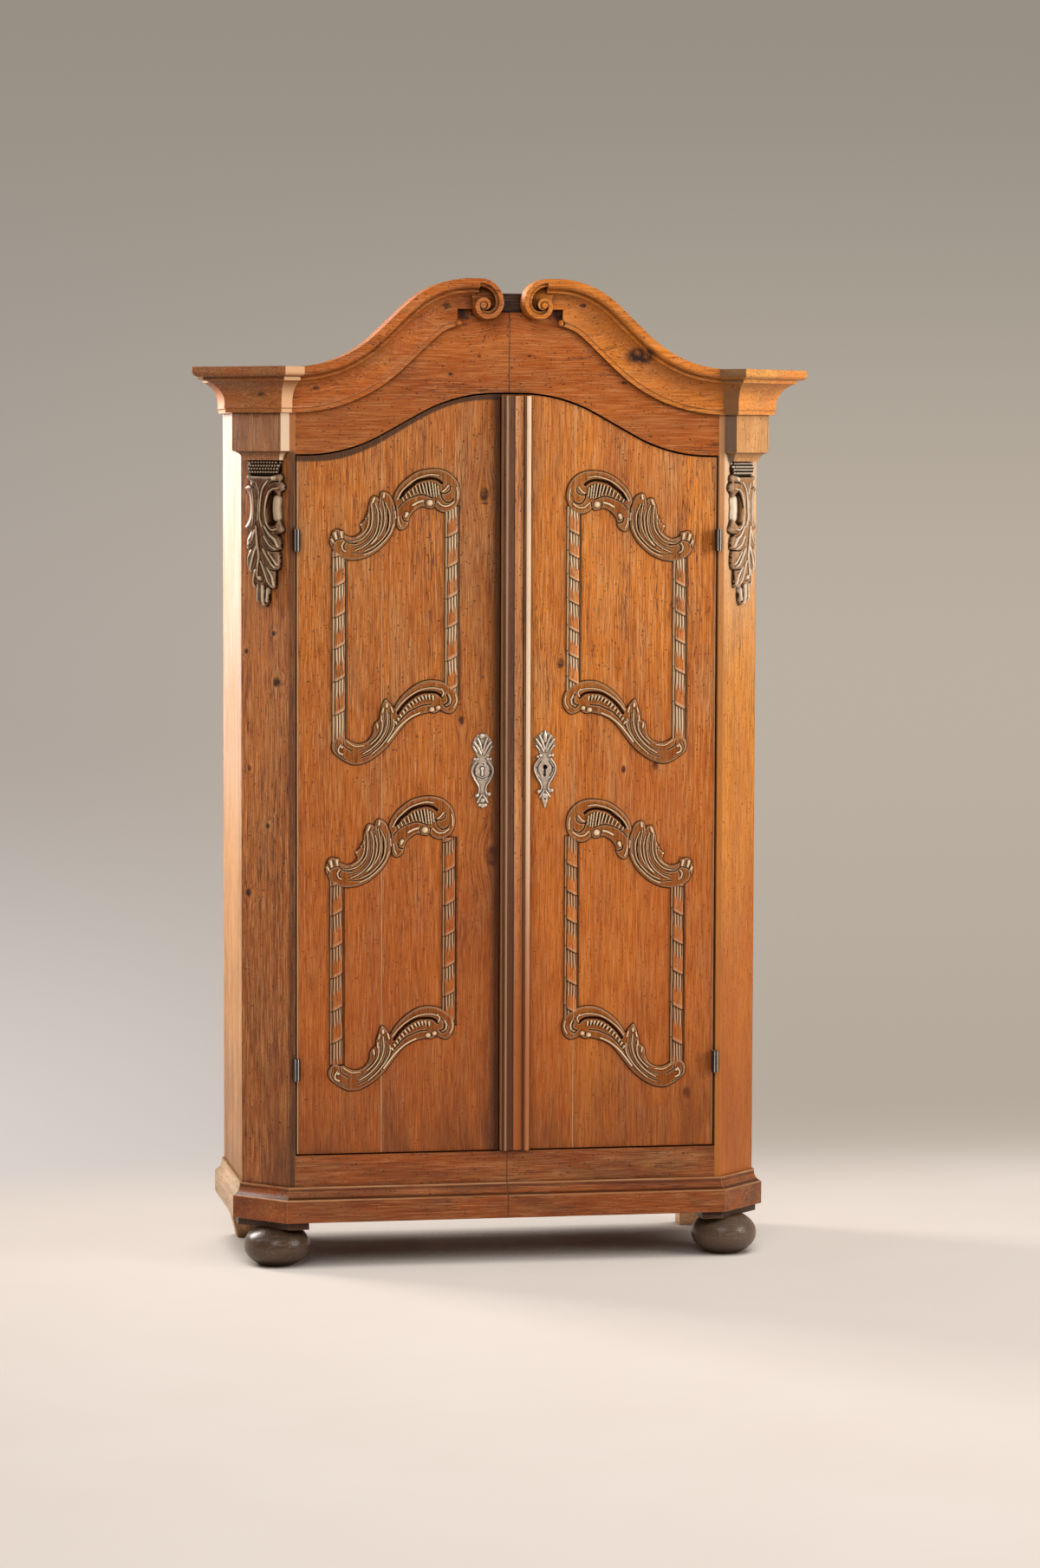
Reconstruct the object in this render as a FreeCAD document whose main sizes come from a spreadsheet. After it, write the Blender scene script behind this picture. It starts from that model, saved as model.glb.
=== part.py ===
import FreeCAD, Part
import math
import os

import Sketcher

V = FreeCAD.Vector
doc = FreeCAD.newDocument("armoire")

# Driving dimensions in millimetres: alias, value, what it measures
SIZES = (
    ("opening_width", 904, "clear width between the corner posts"),
    ("post_strip", 12, "flat front strip of a post beside the door"),
    ("chamfer_run", 91, "run of the canted corner, the same in width and depth"),
    ("carcass_depth", 431, "door plane to the back"),
    ("side_thickness", 22, "side boards"),
    ("back_thickness", 18, "back boards"),
    ("frame_thickness", 28, "frieze and bottom rail"),
    ("post_overlap", 30, "post behind the front end of a side board"),
    ("post_depth", 49, "post beside the door, front to back"),
    ("floor_thickness", 20, "bottom boards"),
    ("roof_thickness", 20, "top boards"),
    ("seam", 0.6, "joint between the two halves of frieze, rail, plinth and boards"),
    ("foot_diameter", 140, "bun foot at its widest"),
    ("foot_height", 82, "bun foot"),
    ("foot_base_angle", 62, "latitude at which the bun is cut flat below, degrees"),
    ("foot_neck_angle", 55, "latitude at which the bun is cut flat above, degrees"),
    ("foot_inset", 70, "foot centre in from the outer side of the carcass"),
    ("foot_setback", 52, "front foot's centre behind the door plane"),
    ("block_height", 16, "block between bun foot and plinth"),
    ("block_proud", 8, "block in front of the carcass faces"),
    ("block_tail", 40, "block past the canted corner, along front and side"),
    ("back_foot_width", 95, "square back foot at its top, across"),
    ("back_foot_depth", 48, "square back foot, front to back"),
    ("back_foot_taper", 25, "back foot's outer side, in at the floor"),
    ("plinth_height", 74, "plinth board with its moulding"),
    ("plinth_projection", 20, "plinth in front of the carcass"),
    ("plinth_fascia", 47, "flat part of the plinth"),
    ("plinth_lip", 5, "top edge of the plinth moulding"),
    ("rail_height", 66, "bottom rail above the plinth"),
    ("rail_drop", 50, "bottom rail behind the plinth"),
    ("opening_height", 1476, "bottom rail to the arch beside the posts"),
    ("arch_rise", 130, "arch from shoulder to crown"),
    ("arch_shoulder", 20, "level run of the arch beside each post"),
    ("arch_crown", 26, "half of the level run at the crown of the arch"),
    ("ogee_share", 0.95, "share of the fullest radius that the ogee curves use"),
    ("pediment_rise", 185, "cornice at the sides to the top of the volutes"),
    ("pediment_flat", 4, "level run of the cornice beside the capital"),
    ("pediment_notch", 69, "notch in the frieze between the volutes"),
    ("hollow_share", 0.56, "share of the pediment curve that the hollow arc takes"),
    ("scroll_gap", 22, "half of the gap between the volutes"),
    ("scroll_flat", 18, "level run over the volute"),
    ("scroll_outer", 50, "first radius of the volute"),
    ("scroll_middle", 34, "second radius of the volute"),
    ("scroll_inner", 26, "third radius of the volute"),
    ("scroll_core", 18, "fourth radius of the volute, where its core begins"),
    ("scroll_core_middle", 14, "fifth radius of the volute"),
    ("scroll_core_inner", 11, "sixth radius of the volute"),
    ("scroll_band", 16, "thickness of the volute's first turn"),
    ("scroll_rim", 9, "part of that turn that stands out as a rim"),
    ("scroll_rim_height", 6, "rim in front of the rest of the turn"),
    ("scroll_recess", 24, "ground between the turns, behind the rim"),
    ("scroll_eye", 6.2, "radius of the volute's eye"),
    ("scroll_eye_groove", 2.8, "groove round the eye"),
    ("bead_stop", 112, "where the lower mouldings end beside the volute, from the middle"),
    ("bead_stop_drop", 62, "mouldings that go on into the volute, down from its top"),
    ("bead_ball", 7.5, "radius of the ball at the end of the lower bead"),
    ("crown_height", 40, "dark block between the volutes"),
    ("crown_thickness", 20, "dark block, front to back"),
    ("crown_setback", 4, "dark block behind the frieze's face"),
    ("cornice_lift", 86, "underside of the cornice over the arch beside the posts"),
    ("cornice_height", 95, "cornice"),
    ("post_tail", 72, "posts, sides and back behind the cornice"),
    ("cornice_overhang", 59, "cornice at its top"),
    ("cornice_bead", 10, "lower bead of the cornice, outwards"),
    ("cornice_bead_height", 8, "lower bead of the cornice"),
    ("cornice_fillet", 43, "fillet over the hollow, outwards"),
    ("cornice_fillet_base", 66, "underside of that fillet above the cornice's own"),
    ("cornice_fillet_height", 8, "fillet over the hollow"),
    ("capital_height", 80, "capital block"),
    ("capital_projection", 30, "capital block in front of the cant"),
    ("capital_hollow", 19, "height of the hollow under the capital block"),
    ("capital_reveal", 15, "how far that hollow draws in"),
    ("pendant_length", 316, "carved pendant"),
    ("pendant_width", 106, "carved pendant at its widest"),
    ("pendant_thickness", 14, "ground of the pendant"),
    ("pendant_band_height", 28, "latticed band at the top of the pendant"),
    ("pendant_band_width", 88, "latticed band at its top"),
    ("pendant_band_thickness", 19, "latticed band"),
    ("pendant_bead", 7, "radius of the beads under the band"),
    ("door_recess", 6, "door faces behind the frieze"),
    ("door_thickness", 22, "door boards"),
    ("door_gap", 3, "door above the rail, and between the leaves"),
    ("arch_gap", 4, "door tops below the arch"),
    ("hinge_gap", 4, "door edge to post"),
    ("meeting_offset", 15, "left edge of the right leaf, left of the middle"),
    ("left_board_seam", 270, "joint between the boards of the left leaf, left of the middle"),
    ("right_board_seam", 142, "joint between the boards of the right leaf"),
    ("stop_width", 12, "door stop"),
    ("stop_clear", 0.5, "door to its stop"),
    ("batten_height", 90, "door batten"),
    ("batten_thickness", 18, "door batten"),
    ("batten_hinge_inset", 30, "batten in from the hinge edge"),
    ("batten_meeting_inset", 135, "batten in from the meeting edge"),
    ("batten_edge", 190, "battens in from door bottom and from the shoulder"),
    ("astragal_width", 62, "astragal over the meeting line"),
    ("astragal_thickness", 14, "astragal board"),
    ("astragal_bead", 8, "radius of the astragal's two beads"),
    ("hinge_drop", 179, "middle of the upper hinges below the arch beside the posts"),
    ("hinge_lift", 181, "middle of the lower hinges above the door's bottom"),
    ("hinge_height", 46, "both knuckles of a hinge"),
    ("knuckle_radius", 7.5, "hinge knuckle"),
    ("knuckle_clear", 0.5, "hinge knuckle to the post's face"),
    ("knuckle_gap", 0.3, "upper knuckle over the lower one"),
    ("pin_radius", 3.5, "hinge pin"),
    ("pin_clear", 0.06, "hinge pin in its knuckles, on the radius"),
    ("leaf_thickness", 1.6, "hinge leaf"),
    ("leaf_depth", 22, "hinge leaf along the door's edge"),
    ("lock_lift", 814, "keyhole above the door's bottom"),
    ("left_shield_x", 55, "left escutcheon, left of the middle"),
    ("right_shield_x", 82, "right escutcheon and keyhole from the middle"),
    ("shield_height", 168, "escutcheon"),
    ("shield_width", 49, "escutcheon"),
    ("shield_thickness", 3, "escutcheon"),
    ("keyhole_radius", 5, "round of the keyhole"),
    ("keyhole_slot", 5, "width of the keyhole's slot"),
    ("keyhole_drop", 16, "length of the keyhole's slot"),
    ("case_width", 120, "lock case"),
    ("case_height", 100, "lock case"),
    ("case_depth", 24, "lock case"),
    ("case_wall", 2, "lock case"),
    ("case_inset", 7, "lock case in from the meeting edge"),
    ("bolt_length", 70, "lock bolt"),
    ("bolt_height", 14, "lock bolt"),
    ("bolt_depth", 8, "lock bolt, front to back"),
    ("bolt_seat", 6, "lock bolt behind the door"),
    ("bolt_clear", 0.4, "lock bolt in its slot"),
    ("keeper_width", 40, "keeper of the lock bolt"),
    ("keeper_height", 46, "keeper"),
    ("keeper_inset", 6, "keeper in from the left leaf's edge"),
    ("keeper_wall", 5, "keeper around its slot"),
    ("keeper_clear", 1, "lock bolt in the keeper"),
    ("slide_width", 16, "slide bolt"),
    ("slide_thickness", 6, "slide bolt"),
    ("slide_length", 220, "slide bolt"),
    ("slide_inset", 40, "slide bolt's middle in from the left leaf's edge"),
    ("slide_clear", 0.3, "slide bolt to door and staples"),
    ("slide_end", 6, "drawn slide bolt short of the door's end"),
    ("slide_knob", 6, "radius of a slide bolt's knob"),
    ("slide_knob_reach", 16, "length of that knob"),
    ("staple_wall", 4, "staple around a slide bolt"),
    ("staple_height", 14, "staple"),
    ("staple_near", 40, "first staple from the door's end"),
    ("staple_far", 130, "second staple from the door's end"),
    ("shelf_drop", 234, "hat shelf's underside below the arch beside the posts"),
    ("shelf_thickness", 20, "hat shelf"),
    ("shelf_setback", 14, "hat shelf behind the posts"),
    ("cleat_height", 30, "shelf cleat"),
    ("cleat_width", 20, "shelf cleat"),
)

sheet = doc.addObject("Spreadsheet::Sheet", "sizes")
for row, (alias, value, meaning) in enumerate(SIZES, start=1):
    sheet.set(f"A{row}", meaning)
    sheet.set(f"B{row}", str(value))
    sheet.setAlias(f"B{row}", alias)
doc.recompute()

# Places that several pieces share, as expressions over the sheet
OPEN = "(sizes.opening_width / 2)"
STRIP = f"({OPEN} + sizes.post_strip)"
CARCASS = f"({STRIP} + sizes.chamfer_run)"
INSIDE = f"({CARCASS} - sizes.side_thickness)"
BACK = "(sizes.carcass_depth - sizes.back_thickness)"
POST_BACK = "(sizes.chamfer_run + sizes.post_overlap)"
PLINTH_BASE = "(sizes.foot_height + sizes.block_height)"
PLINTH_TOP = f"({PLINTH_BASE} + sizes.plinth_height)"
RAIL_TOP = f"({PLINTH_TOP} + sizes.rail_height)"
DOOR_BOTTOM = f"({RAIL_TOP} + sizes.door_gap)"
SHOULDER = f"({RAIL_TOP} + sizes.opening_height)"
DOOR_TOP = f"({SHOULDER} + sizes.arch_rise - sizes.arch_gap)"
DOOR_BACK = "(sizes.door_recess + sizes.door_thickness)"
LEAF_EDGE = f"({OPEN} - sizes.hinge_gap)"
RIGHT_MEETING = "(-sizes.meeting_offset)"
LEFT_MEETING = f"({RIGHT_MEETING} - sizes.door_gap)"
LEFT_SEAM = "(-sizes.left_board_seam)"
CORNICE_BASE = f"({SHOULDER} + sizes.cornice_lift)"
CORNICE_TOP = f"({CORNICE_BASE} + sizes.cornice_height)"
CARCASS_TOP = f"({CORNICE_BASE} + sizes.post_tail)"
PEDIMENT_TOP = f"({CORNICE_TOP} + sizes.pediment_rise)"
PEDIMENT_SEAT = f"({PEDIMENT_TOP} - sizes.pediment_notch)"
LOCK_Z = f"({DOOR_BOTTOM} + sizes.lock_lift)"
SHELF_Z = f"({SHOULDER} - sizes.shelf_drop)"
SCROLL_SIDE = "(sizes.scroll_gap + sizes.scroll_outer)"
PIVOT_X = f"({OPEN} - sizes.hinge_gap / 2)"
PIVOT_Y = "(-sizes.knuckle_radius - sizes.knuckle_clear)"
SLIDE_X = f"({LEFT_MEETING} - sizes.slide_inset)"
REACH = "(2 * (sizes.cornice_overhang + sizes.capital_projection))"
HALF_MITRE = math.tan(math.radians(22.5))
SLANT = math.sqrt(0.5)

SIDES = (("left", -1), ("right", 1))
parts = []


def number(expression):
    """Value that an expression over the sheet has now."""
    return float(sheet.evalExpression(expression))


def keep(piece, label):
    """Give a finished piece its name and put it on the list of parts."""
    piece.Label = label
    parts.append(piece)
    return piece


def box(name, low, spans):
    """Board with its low corner and its three spans bound to expressions."""
    board = doc.addObject("Part::Box", name)
    for edge, span in zip(("Length", "Width", "Height"), spans):
        board.setExpression(edge, span)
    for axis, place in zip("xyz", low):
        board.setExpression(f"Placement.Base.{axis}", place)
    return board


def sided_box(name, side, inner, outer, y, depth, z, height):
    """Board on one side of the middle, between two distances from it."""
    low = f"{inner}" if side > 0 else f"-({outer})"
    return box(name, (low, y, z), (f"{outer} - ({inner})", depth, height))


def plan_prism(name, corners, base, height):
    """Upright prism: a sketch of the plan outline, padded from its base."""
    body = doc.addObject("PartDesign::Body", name)
    sketch = body.newObject("Sketcher::SketchObject", name + "_plan")
    ground = [f for f in body.Origin.OriginFeatures if f.Role == "XY_Plane"][0]
    sketch.AttachmentSupport = (ground, [""])
    sketch.MapMode = "FlatFace"
    points = [V(number(x), number(y), 0) for x, y in corners]
    count = len(points)
    for i in range(count):
        sketch.addGeometry(Part.LineSegment(points[i], points[(i + 1) % count]))
    for i in range(count):
        sketch.addConstraint(Sketcher.Constraint("Coincident", i, 2, (i + 1) % count, 1))
    for i, (x, y) in enumerate(corners):
        for kind, place, now in (("DistanceX", x, points[i].x), ("DistanceY", y, points[i].y)):
            index = sketch.addConstraint(Sketcher.Constraint(kind, -1, 1, i, 1, now))
            sketch.setExpression(f"Constraints[{index}]", place)
    pad = body.newObject("PartDesign::Pad", name + "_pad")
    pad.Profile = sketch
    pad.setExpression("Length", height)
    body.setExpression("Placement.Base.z", base)
    return body


def combine(kind, name, base, tool):
    """Part::Cut, Part::Common or Part::Fuse of two objects."""
    result = doc.addObject(kind, name)
    result.Base = base
    result.Tool = tool
    return result


def feature(name, shape):
    """Piece whose shape is made here from the sheet's values."""
    piece = doc.addObject("Part::Feature", name)
    piece.Shape = shape
    return piece


def closed_face(steps, place):
    """Face inside an outline: each step is a corner, or a middle and an end of an arc."""
    here = place(*steps[0])
    start = here
    edges = []
    for step in steps[1:]:
        if isinstance(step[0], tuple):
            there = place(*step[1])
            edges.append(Part.Arc(here, place(*step[0]), there).toShape())
        else:
            there = place(*step)
            if there.distanceToPoint(here) > 1e-6:
                edges.append(Part.LineSegment(here, there).toShape())
        here = there
    if here.distanceToPoint(start) > 1e-6:
        edges.append(Part.LineSegment(here, start).toShape())
    return Part.Face(Part.Wire(edges))


def ogee(low, high, hollow_share):
    """Rising ogee from one level point to another.

    Two arcs with a straight run between them, which touches both. Returns the steps of the
    outline from low to high.
    """
    run, rise = abs(high[0] - low[0]), high[1] - low[1]
    way = 1 if high[0] > low[0] else -1
    radii = number("sizes.ogee_share") * (run ** 2 + rise ** 2) / (2 * rise)
    hollow = radii * hollow_share
    crown = radii - hollow
    drop = radii - rise
    slope = math.asin(radii / math.hypot(run, drop)) - math.atan2(drop, run)

    def on_hollow(angle):
        return (low[0] + way * hollow * math.sin(angle), low[1] + hollow * (1 - math.cos(angle)))

    def on_crown(angle):
        return (high[0] - way * crown * math.sin(angle), high[1] - crown * (1 - math.cos(angle)))

    return [(on_hollow(slope / 2), on_hollow(slope)), on_crown(slope), (on_crown(slope / 2), high)]


def turned(steps):
    """The same steps of an outline, walked from the far end; the first point is left out."""
    ends = [step[1] if isinstance(step[0], tuple) else step for step in steps]
    middles = [step[0] if isinstance(step[0], tuple) else None for step in steps]
    back = []
    for i in range(len(steps) - 1, 0, -1):
        back.append((middles[i], ends[i - 1]) if middles[i] else ends[i - 1])
    return back


def upright(y):
    """Placing function for outlines seen from the front, at one depth."""
    return lambda x, z: V(x, y, z)


# Arch template: everything below the arch, for the opening and, lowered, for the doors
def arch_template(name, gap):
    half = number(STRIP)
    crown = number("sizes.arch_crown")
    spring = number(OPEN) - number("sizes.arch_shoulder")
    low = number(SHOULDER) - gap
    high = low + number("sizes.arch_rise")
    left = ogee((-spring, low), (-crown, high), 0.5)
    right = ogee((spring, low), (crown, high), 0.5)
    steps = [(-half, 0), (-half, low), (-spring, low)] + left + [(crown, high)]
    steps += turned([right[0], right[1], right[2]])
    steps += [(right[0][0], (spring, low)), (half, low), (half, 0)]
    depth = number("sizes.carcass_depth")
    return feature(name, closed_face(steps, upright(-depth)).extrude(V(0, 2 * depth, 0)))


opening_template = arch_template("opening_template", 0.0)
door_template = arch_template("door_template", number("sizes.arch_gap"))


# Front bun feet and the blocks that carry the plinth on them
BUN = "(sizes.foot_height / (sin(sizes.foot_base_angle * 1 deg) + sin(sizes.foot_neck_angle * 1 deg)))"
FOOT_X = f"({CARCASS} - sizes.foot_inset)"
PROUD = "sizes.block_proud"
for hand, side in SIDES:
    bun = doc.addObject("Part::Ellipsoid", f"foot_front_{hand}_round")
    bun.setExpression("Radius1", BUN)
    bun.setExpression("Radius2", "sizes.foot_diameter / 2")
    bun.setExpression("Radius3", "sizes.foot_diameter / 2")
    bun.Angle1, bun.Angle2 = -90, 90
    bun.setExpression("Placement.Base.x", f"{side} * {FOOT_X}")
    bun.setExpression("Placement.Base.y", "sizes.foot_setback")
    bun.setExpression("Placement.Base.z", f"{BUN} * sin(sizes.foot_base_angle * 1 deg)")
    slab = box(f"foot_front_{hand}_slab", (f"{side} * {FOOT_X} - sizes.foot_diameter",
                                           "sizes.foot_setback - sizes.foot_diameter", "0"),
               ("2 * sizes.foot_diameter", "2 * sizes.foot_diameter", "sizes.foot_height"))
    keep(combine("Part::Common", f"foot_front_{hand}", bun, slab), f"foot_front_{hand}")

    mitre = f"{HALF_MITRE} * {PROUD}"
    inner = f"{side} * ({STRIP} - sizes.block_tail)"
    outer = f"{side} * ({CARCASS} + {PROUD})"
    tail = "sizes.chamfer_run + sizes.block_tail"
    keep(plan_prism(f"foot_block_{hand}", (
        (inner, f"-{PROUD}"),
        (f"{side} * ({STRIP} + {mitre})", f"-{PROUD}"),
        (outer, f"sizes.chamfer_run - {mitre}"),
        (outer, tail),
        (inner, tail),
    ), "sizes.foot_height", "sizes.block_height"), f"foot_block_{hand}")

# Square back feet, whose outer sides lean in towards the floor
for hand, side in SIDES:
    foot = doc.addObject("Part::Wedge", f"foot_back_{hand}")
    foot.Placement.Rotation = FreeCAD.Rotation(V(1, 0, 0), 90)
    foot.setExpression("Placement.Base.y", "sizes.carcass_depth")
    inner = f"{side} * ({CARCASS} - sizes.back_foot_width)"
    low = f"{side} * ({CARCASS} - sizes.back_foot_taper)"
    high = f"{side} * {CARCASS}"
    for edge, place in (
            ("Xmin", inner if side > 0 else low), ("Xmax", low if side > 0 else inner),
            ("X2min", inner if side > 0 else high), ("X2max", high if side > 0 else inner),
            ("Ymin", "0"), ("Ymax", PLINTH_BASE), ("Zmin", "0"), ("Zmax", "sizes.back_foot_depth"),
            ("Z2min", "0"), ("Z2max", "sizes.back_foot_depth")):
        foot.setExpression(edge, place)
    keep(foot, f"foot_back_{hand}")


# Mouldings: a profile of (outwards, upwards) steps, run along a straight wall
def straight_run(name, steps, origin, outward, along, length):
    def place(out, up):
        return origin + outward * out + V(0, 0, up)
    return feature(name, closed_face(steps, place).extrude(along * length))


def plinth_profile():
    reach = number("sizes.plinth_projection")
    fascia = number("sizes.plinth_fascia")
    lip = number("sizes.plinth_lip")
    top = number("sizes.plinth_height")
    start = (0.8 * reach, fascia + 0.1 * reach)
    end = (lip, top - lip)
    middle = (lip + 0.3 * (start[0] - lip), start[1] + 0.4 * (end[1] - start[1]))
    return [(0, 0), (reach, 0), (reach, fascia), start, (middle, end), (lip, top), (0, top)]


def cornice_profile(inward):
    bead, bead_top = number("sizes.cornice_bead"), number("sizes.cornice_bead_height")
    fillet, under = number("sizes.cornice_fillet"), number("sizes.cornice_fillet_base")
    over = under + number("sizes.cornice_fillet_height")
    reach, top = number("sizes.cornice_overhang"), number("sizes.cornice_height")
    edge = 0.2 * bead
    hollow_low = (bead + edge, bead_top + edge)
    hollow_high = (fillet - 2 * edge, under)
    hollow_mid = (hollow_low[0] + 0.2 * (hollow_high[0] - hollow_low[0]),
                  hollow_low[1] + 0.62 * (hollow_high[1] - hollow_low[1]))
    nose = reach - fillet - edge
    nose_mid = (fillet + edge + 0.75 * nose, over + 0.25 * (top - over) / 2)
    return [(-inward, 0), (bead, 0), (bead, bead_top), hollow_low, (hollow_mid, hollow_high),
            (fillet, under), (fillet, over), (fillet + edge, over),
            (nose_mid, (reach, (over + top) / 2)), (reach, top), (-inward, top)]


# Plinth: front halves, canted corners and sides, mitred at the corners of the plan
def plinth_piece(label, corners, origin, outward, along):
    """One run of the plinth, cut to its mitred plan."""
    far = number(REACH)
    length = number("sizes.opening_width") + 2 * far
    start = origin - along * far
    run = straight_run(label + "_run", plinth_profile(), start, outward, along, length)
    plan = plan_prism(label + "_plan", corners, PLINTH_BASE, "sizes.plinth_height")
    keep(combine("Part::Common", label, run, plan), label)


PROJECT = "sizes.plinth_projection"
MITRE = f"({HALF_MITRE} * {PROJECT})"
for hand, side in SIDES:
    base_z = number(PLINTH_BASE)
    middle = f"{side} * sizes.seam / 2"
    strip, strip_out = f"{side} * {STRIP}", f"{side} * ({STRIP} + {MITRE})"
    edge, edge_out = f"{side} * {CARCASS}", f"{side} * ({CARCASS} + {PROJECT})"
    cant, cant_out = "sizes.chamfer_run", f"sizes.chamfer_run - {MITRE}"
    strip_x, edge_x = side * number(STRIP), side * number(CARCASS)
    plinth_piece(f"plinth_front_{hand}",
                 ((middle, "0"), (strip, "0"), (strip_out, f"-{PROJECT}"), (middle, f"-{PROJECT}")),
                 V(0, 0, base_z), V(0, -1, 0), V(side, 0, 0))
    plinth_piece(f"plinth_corner_{hand}",
                 ((strip, "0"), (edge, cant), (edge_out, cant_out), (strip_out, f"-{PROJECT}")),
                 V(strip_x, 0, base_z), V(side * SLANT, -SLANT, 0), V(side * SLANT, SLANT, 0))
    plinth_piece(f"plinth_side_{hand}",
                 ((edge, cant), (edge_out, cant_out), (edge_out, "sizes.carcass_depth"),
                  (edge, "sizes.carcass_depth")),
                 V(edge_x, 0, base_z), V(side, 0, 0), V(0, 1, 0))


# Carcass: posts, sides, floor, roof, back
def carcass_board(name, label, side, corners, base, height):
    """Board whose plan is given for the right side and mirrored for the left."""
    plan = tuple((f"{side} * ({x})", y) for x, y in corners)
    return keep(plan_prism(name, plan, base, height), label)


POST_HEIGHT = f"{CARCASS_TOP} - {PLINTH_BASE}"
for hand, side in SIDES:
    carcass_board(f"corner_post_{hand}", f"corner_post_{hand}", side, (
        (OPEN, "0"), (STRIP, "0"), (CARCASS, "sizes.chamfer_run"), (INSIDE, "sizes.chamfer_run"),
        (INSIDE, POST_BACK), (OPEN, "sizes.post_depth")), PLINTH_BASE, POST_HEIGHT)
    keep(sided_box(f"side_panel_{hand}", side, INSIDE, CARCASS, "sizes.chamfer_run",
                   "sizes.carcass_depth - sizes.chamfer_run", PLINTH_BASE, POST_HEIGHT),
         f"side_panel_{hand}")
    keep(sided_box(f"bottom_rail_{hand}", side, "sizes.seam / 2", OPEN, "0", "sizes.frame_thickness",
                   f"{PLINTH_TOP} - sizes.rail_drop", "sizes.rail_height + sizes.rail_drop"),
         f"bottom_rail_{hand}")
    carcass_board(f"bottom_board_{hand}", f"bottom_board_{hand}", side, (
        ("sizes.seam / 2", "sizes.frame_thickness"), (OPEN, "sizes.frame_thickness"),
        (OPEN, "sizes.post_depth"), (INSIDE, POST_BACK), (INSIDE, BACK), ("sizes.seam / 2", BACK)),
        f"{PLINTH_TOP} - sizes.floor_thickness", "sizes.floor_thickness")
    carcass_board(f"top_board_{hand}", f"top_board_{hand}", side, (
        ("sizes.seam / 2", "sizes.frame_thickness"), (OPEN, "sizes.frame_thickness"), (OPEN, "0"),
        (STRIP, "0"), (CARCASS, "sizes.chamfer_run"), (CARCASS, "sizes.carcass_depth"),
        ("sizes.seam / 2", "sizes.carcass_depth")), CARCASS_TOP, "sizes.roof_thickness")

BACK_BOARDS = 3
BOARD_WIDTH = f"(2 * {INSIDE} - {BACK_BOARDS - 1} * sizes.seam) / {BACK_BOARDS}"
for i in range(BACK_BOARDS):
    keep(box(f"back_board_{i + 1}", (f"-{INSIDE} + {i} * ({BOARD_WIDTH} + sizes.seam)", BACK, PLINTH_BASE),
             (BOARD_WIDTH, "sizes.back_thickness", POST_HEIGHT)), f"back_board_{i + 1}")

# Hat shelf, behind the posts, on a cleat at each end
SHELF_Y = f"({POST_BACK} + sizes.shelf_setback)"
keep(box("hat_shelf", (f"-{INSIDE}", SHELF_Y, SHELF_Z),
         (f"2 * {INSIDE}", f"{BACK} - {SHELF_Y}", "sizes.shelf_thickness")), "hat_shelf")
cleats = doc.addObject("Part::Compound", "shelf_cleats")
cleats.Links = [
    sided_box(f"shelf_cleat_{hand}", side, f"{INSIDE} - sizes.cleat_width", INSIDE, SHELF_Y,
              f"{BACK} - {SHELF_Y}", f"{SHELF_Z} - sizes.cleat_height", "sizes.cleat_height")
    for hand, side in SIDES]
keep(cleats, "shelf_cleats")

# Door stops on the posts
stops = doc.addObject("Part::Compound", "door_stops")
STOP_Y = f"({DOOR_BACK} + sizes.stop_clear)"
stops.Links = [
    sided_box(f"door_stop_{hand}", side, f"{OPEN} - sizes.stop_width", OPEN, STOP_Y,
              f"sizes.post_depth - {STOP_Y}", RAIL_TOP, "sizes.opening_height")
    for hand, side in SIDES]
keep(stops, "door_stops")


# Pediment: two frieze boards, the swan-neck cornice in front of them, a dark block between
def pediment_line(side):
    """Steps of the pediment's top edge, from the capital to the level run over the volute."""
    top, high = number(CORNICE_TOP), number(PEDIMENT_TOP)
    spring = (side * (number(STRIP) - number("sizes.pediment_flat")), top)
    apex = (side * (number(SCROLL_SIDE) + number("sizes.scroll_flat")), high)
    return [spring] + ogee(spring, apex, number("sizes.hollow_share"))


def pediment_template(side):
    """Everything under the pediment's top edge on one side of the middle."""
    seat, high = number(PEDIMENT_SEAT), number(PEDIMENT_TOP)
    shoulder = side * number(SCROLL_SIDE)
    wall = side * number(STRIP)
    steps = [(0, 0), (wall, 0), (wall, number(CORNICE_TOP))] + pediment_line(side)
    steps += [(shoulder, high), (shoulder, seat), (0, seat)]
    depth = number("sizes.carcass_depth")
    return closed_face(steps, upright(-depth)).extrude(V(0, 2 * depth, 0))


for hand, side in SIDES:
    blank = sided_box(f"frieze_blank_{hand}", side, "sizes.seam / 2", OPEN, "0", "sizes.frame_thickness",
                      SHOULDER, f"{PEDIMENT_TOP} - {SHOULDER}")
    arched = combine("Part::Cut", f"frieze_arched_{hand}", blank, opening_template)
    template = feature(f"pediment_template_{hand}", pediment_template(side))
    keep(combine("Part::Common", f"frieze_{hand}", arched, template), f"frieze_{hand}")

CROWN_HALF = f"({SCROLL_SIDE} - sizes.seam)"
keep(box("crown_block", (f"-{CROWN_HALF}", "sizes.crown_setback", PEDIMENT_SEAT),
         (f"2 * {CROWN_HALF}", "sizes.crown_thickness", "sizes.crown_height")), "crown_block")


def spiral(radii):
    """Quarter arcs that draw in from the top of the volute: its start and its steps."""
    centre = (number(SCROLL_SIDE), number(PEDIMENT_TOP) - number("sizes.scroll_outer"))
    angle = 90

    def around(radius, degrees):
        turn = math.radians(degrees)
        return (centre[0] + radius * math.cos(turn), centre[1] + radius * math.sin(turn))

    start = around(radii[0], angle)
    steps = []
    for i, radius in enumerate(radii):
        if i:
            centre = around(radii[i - 1] - radius, angle)
        steps.append((around(radius, angle + 45), around(radius, angle + 90)))
        angle += 90
    return start, steps


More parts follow.
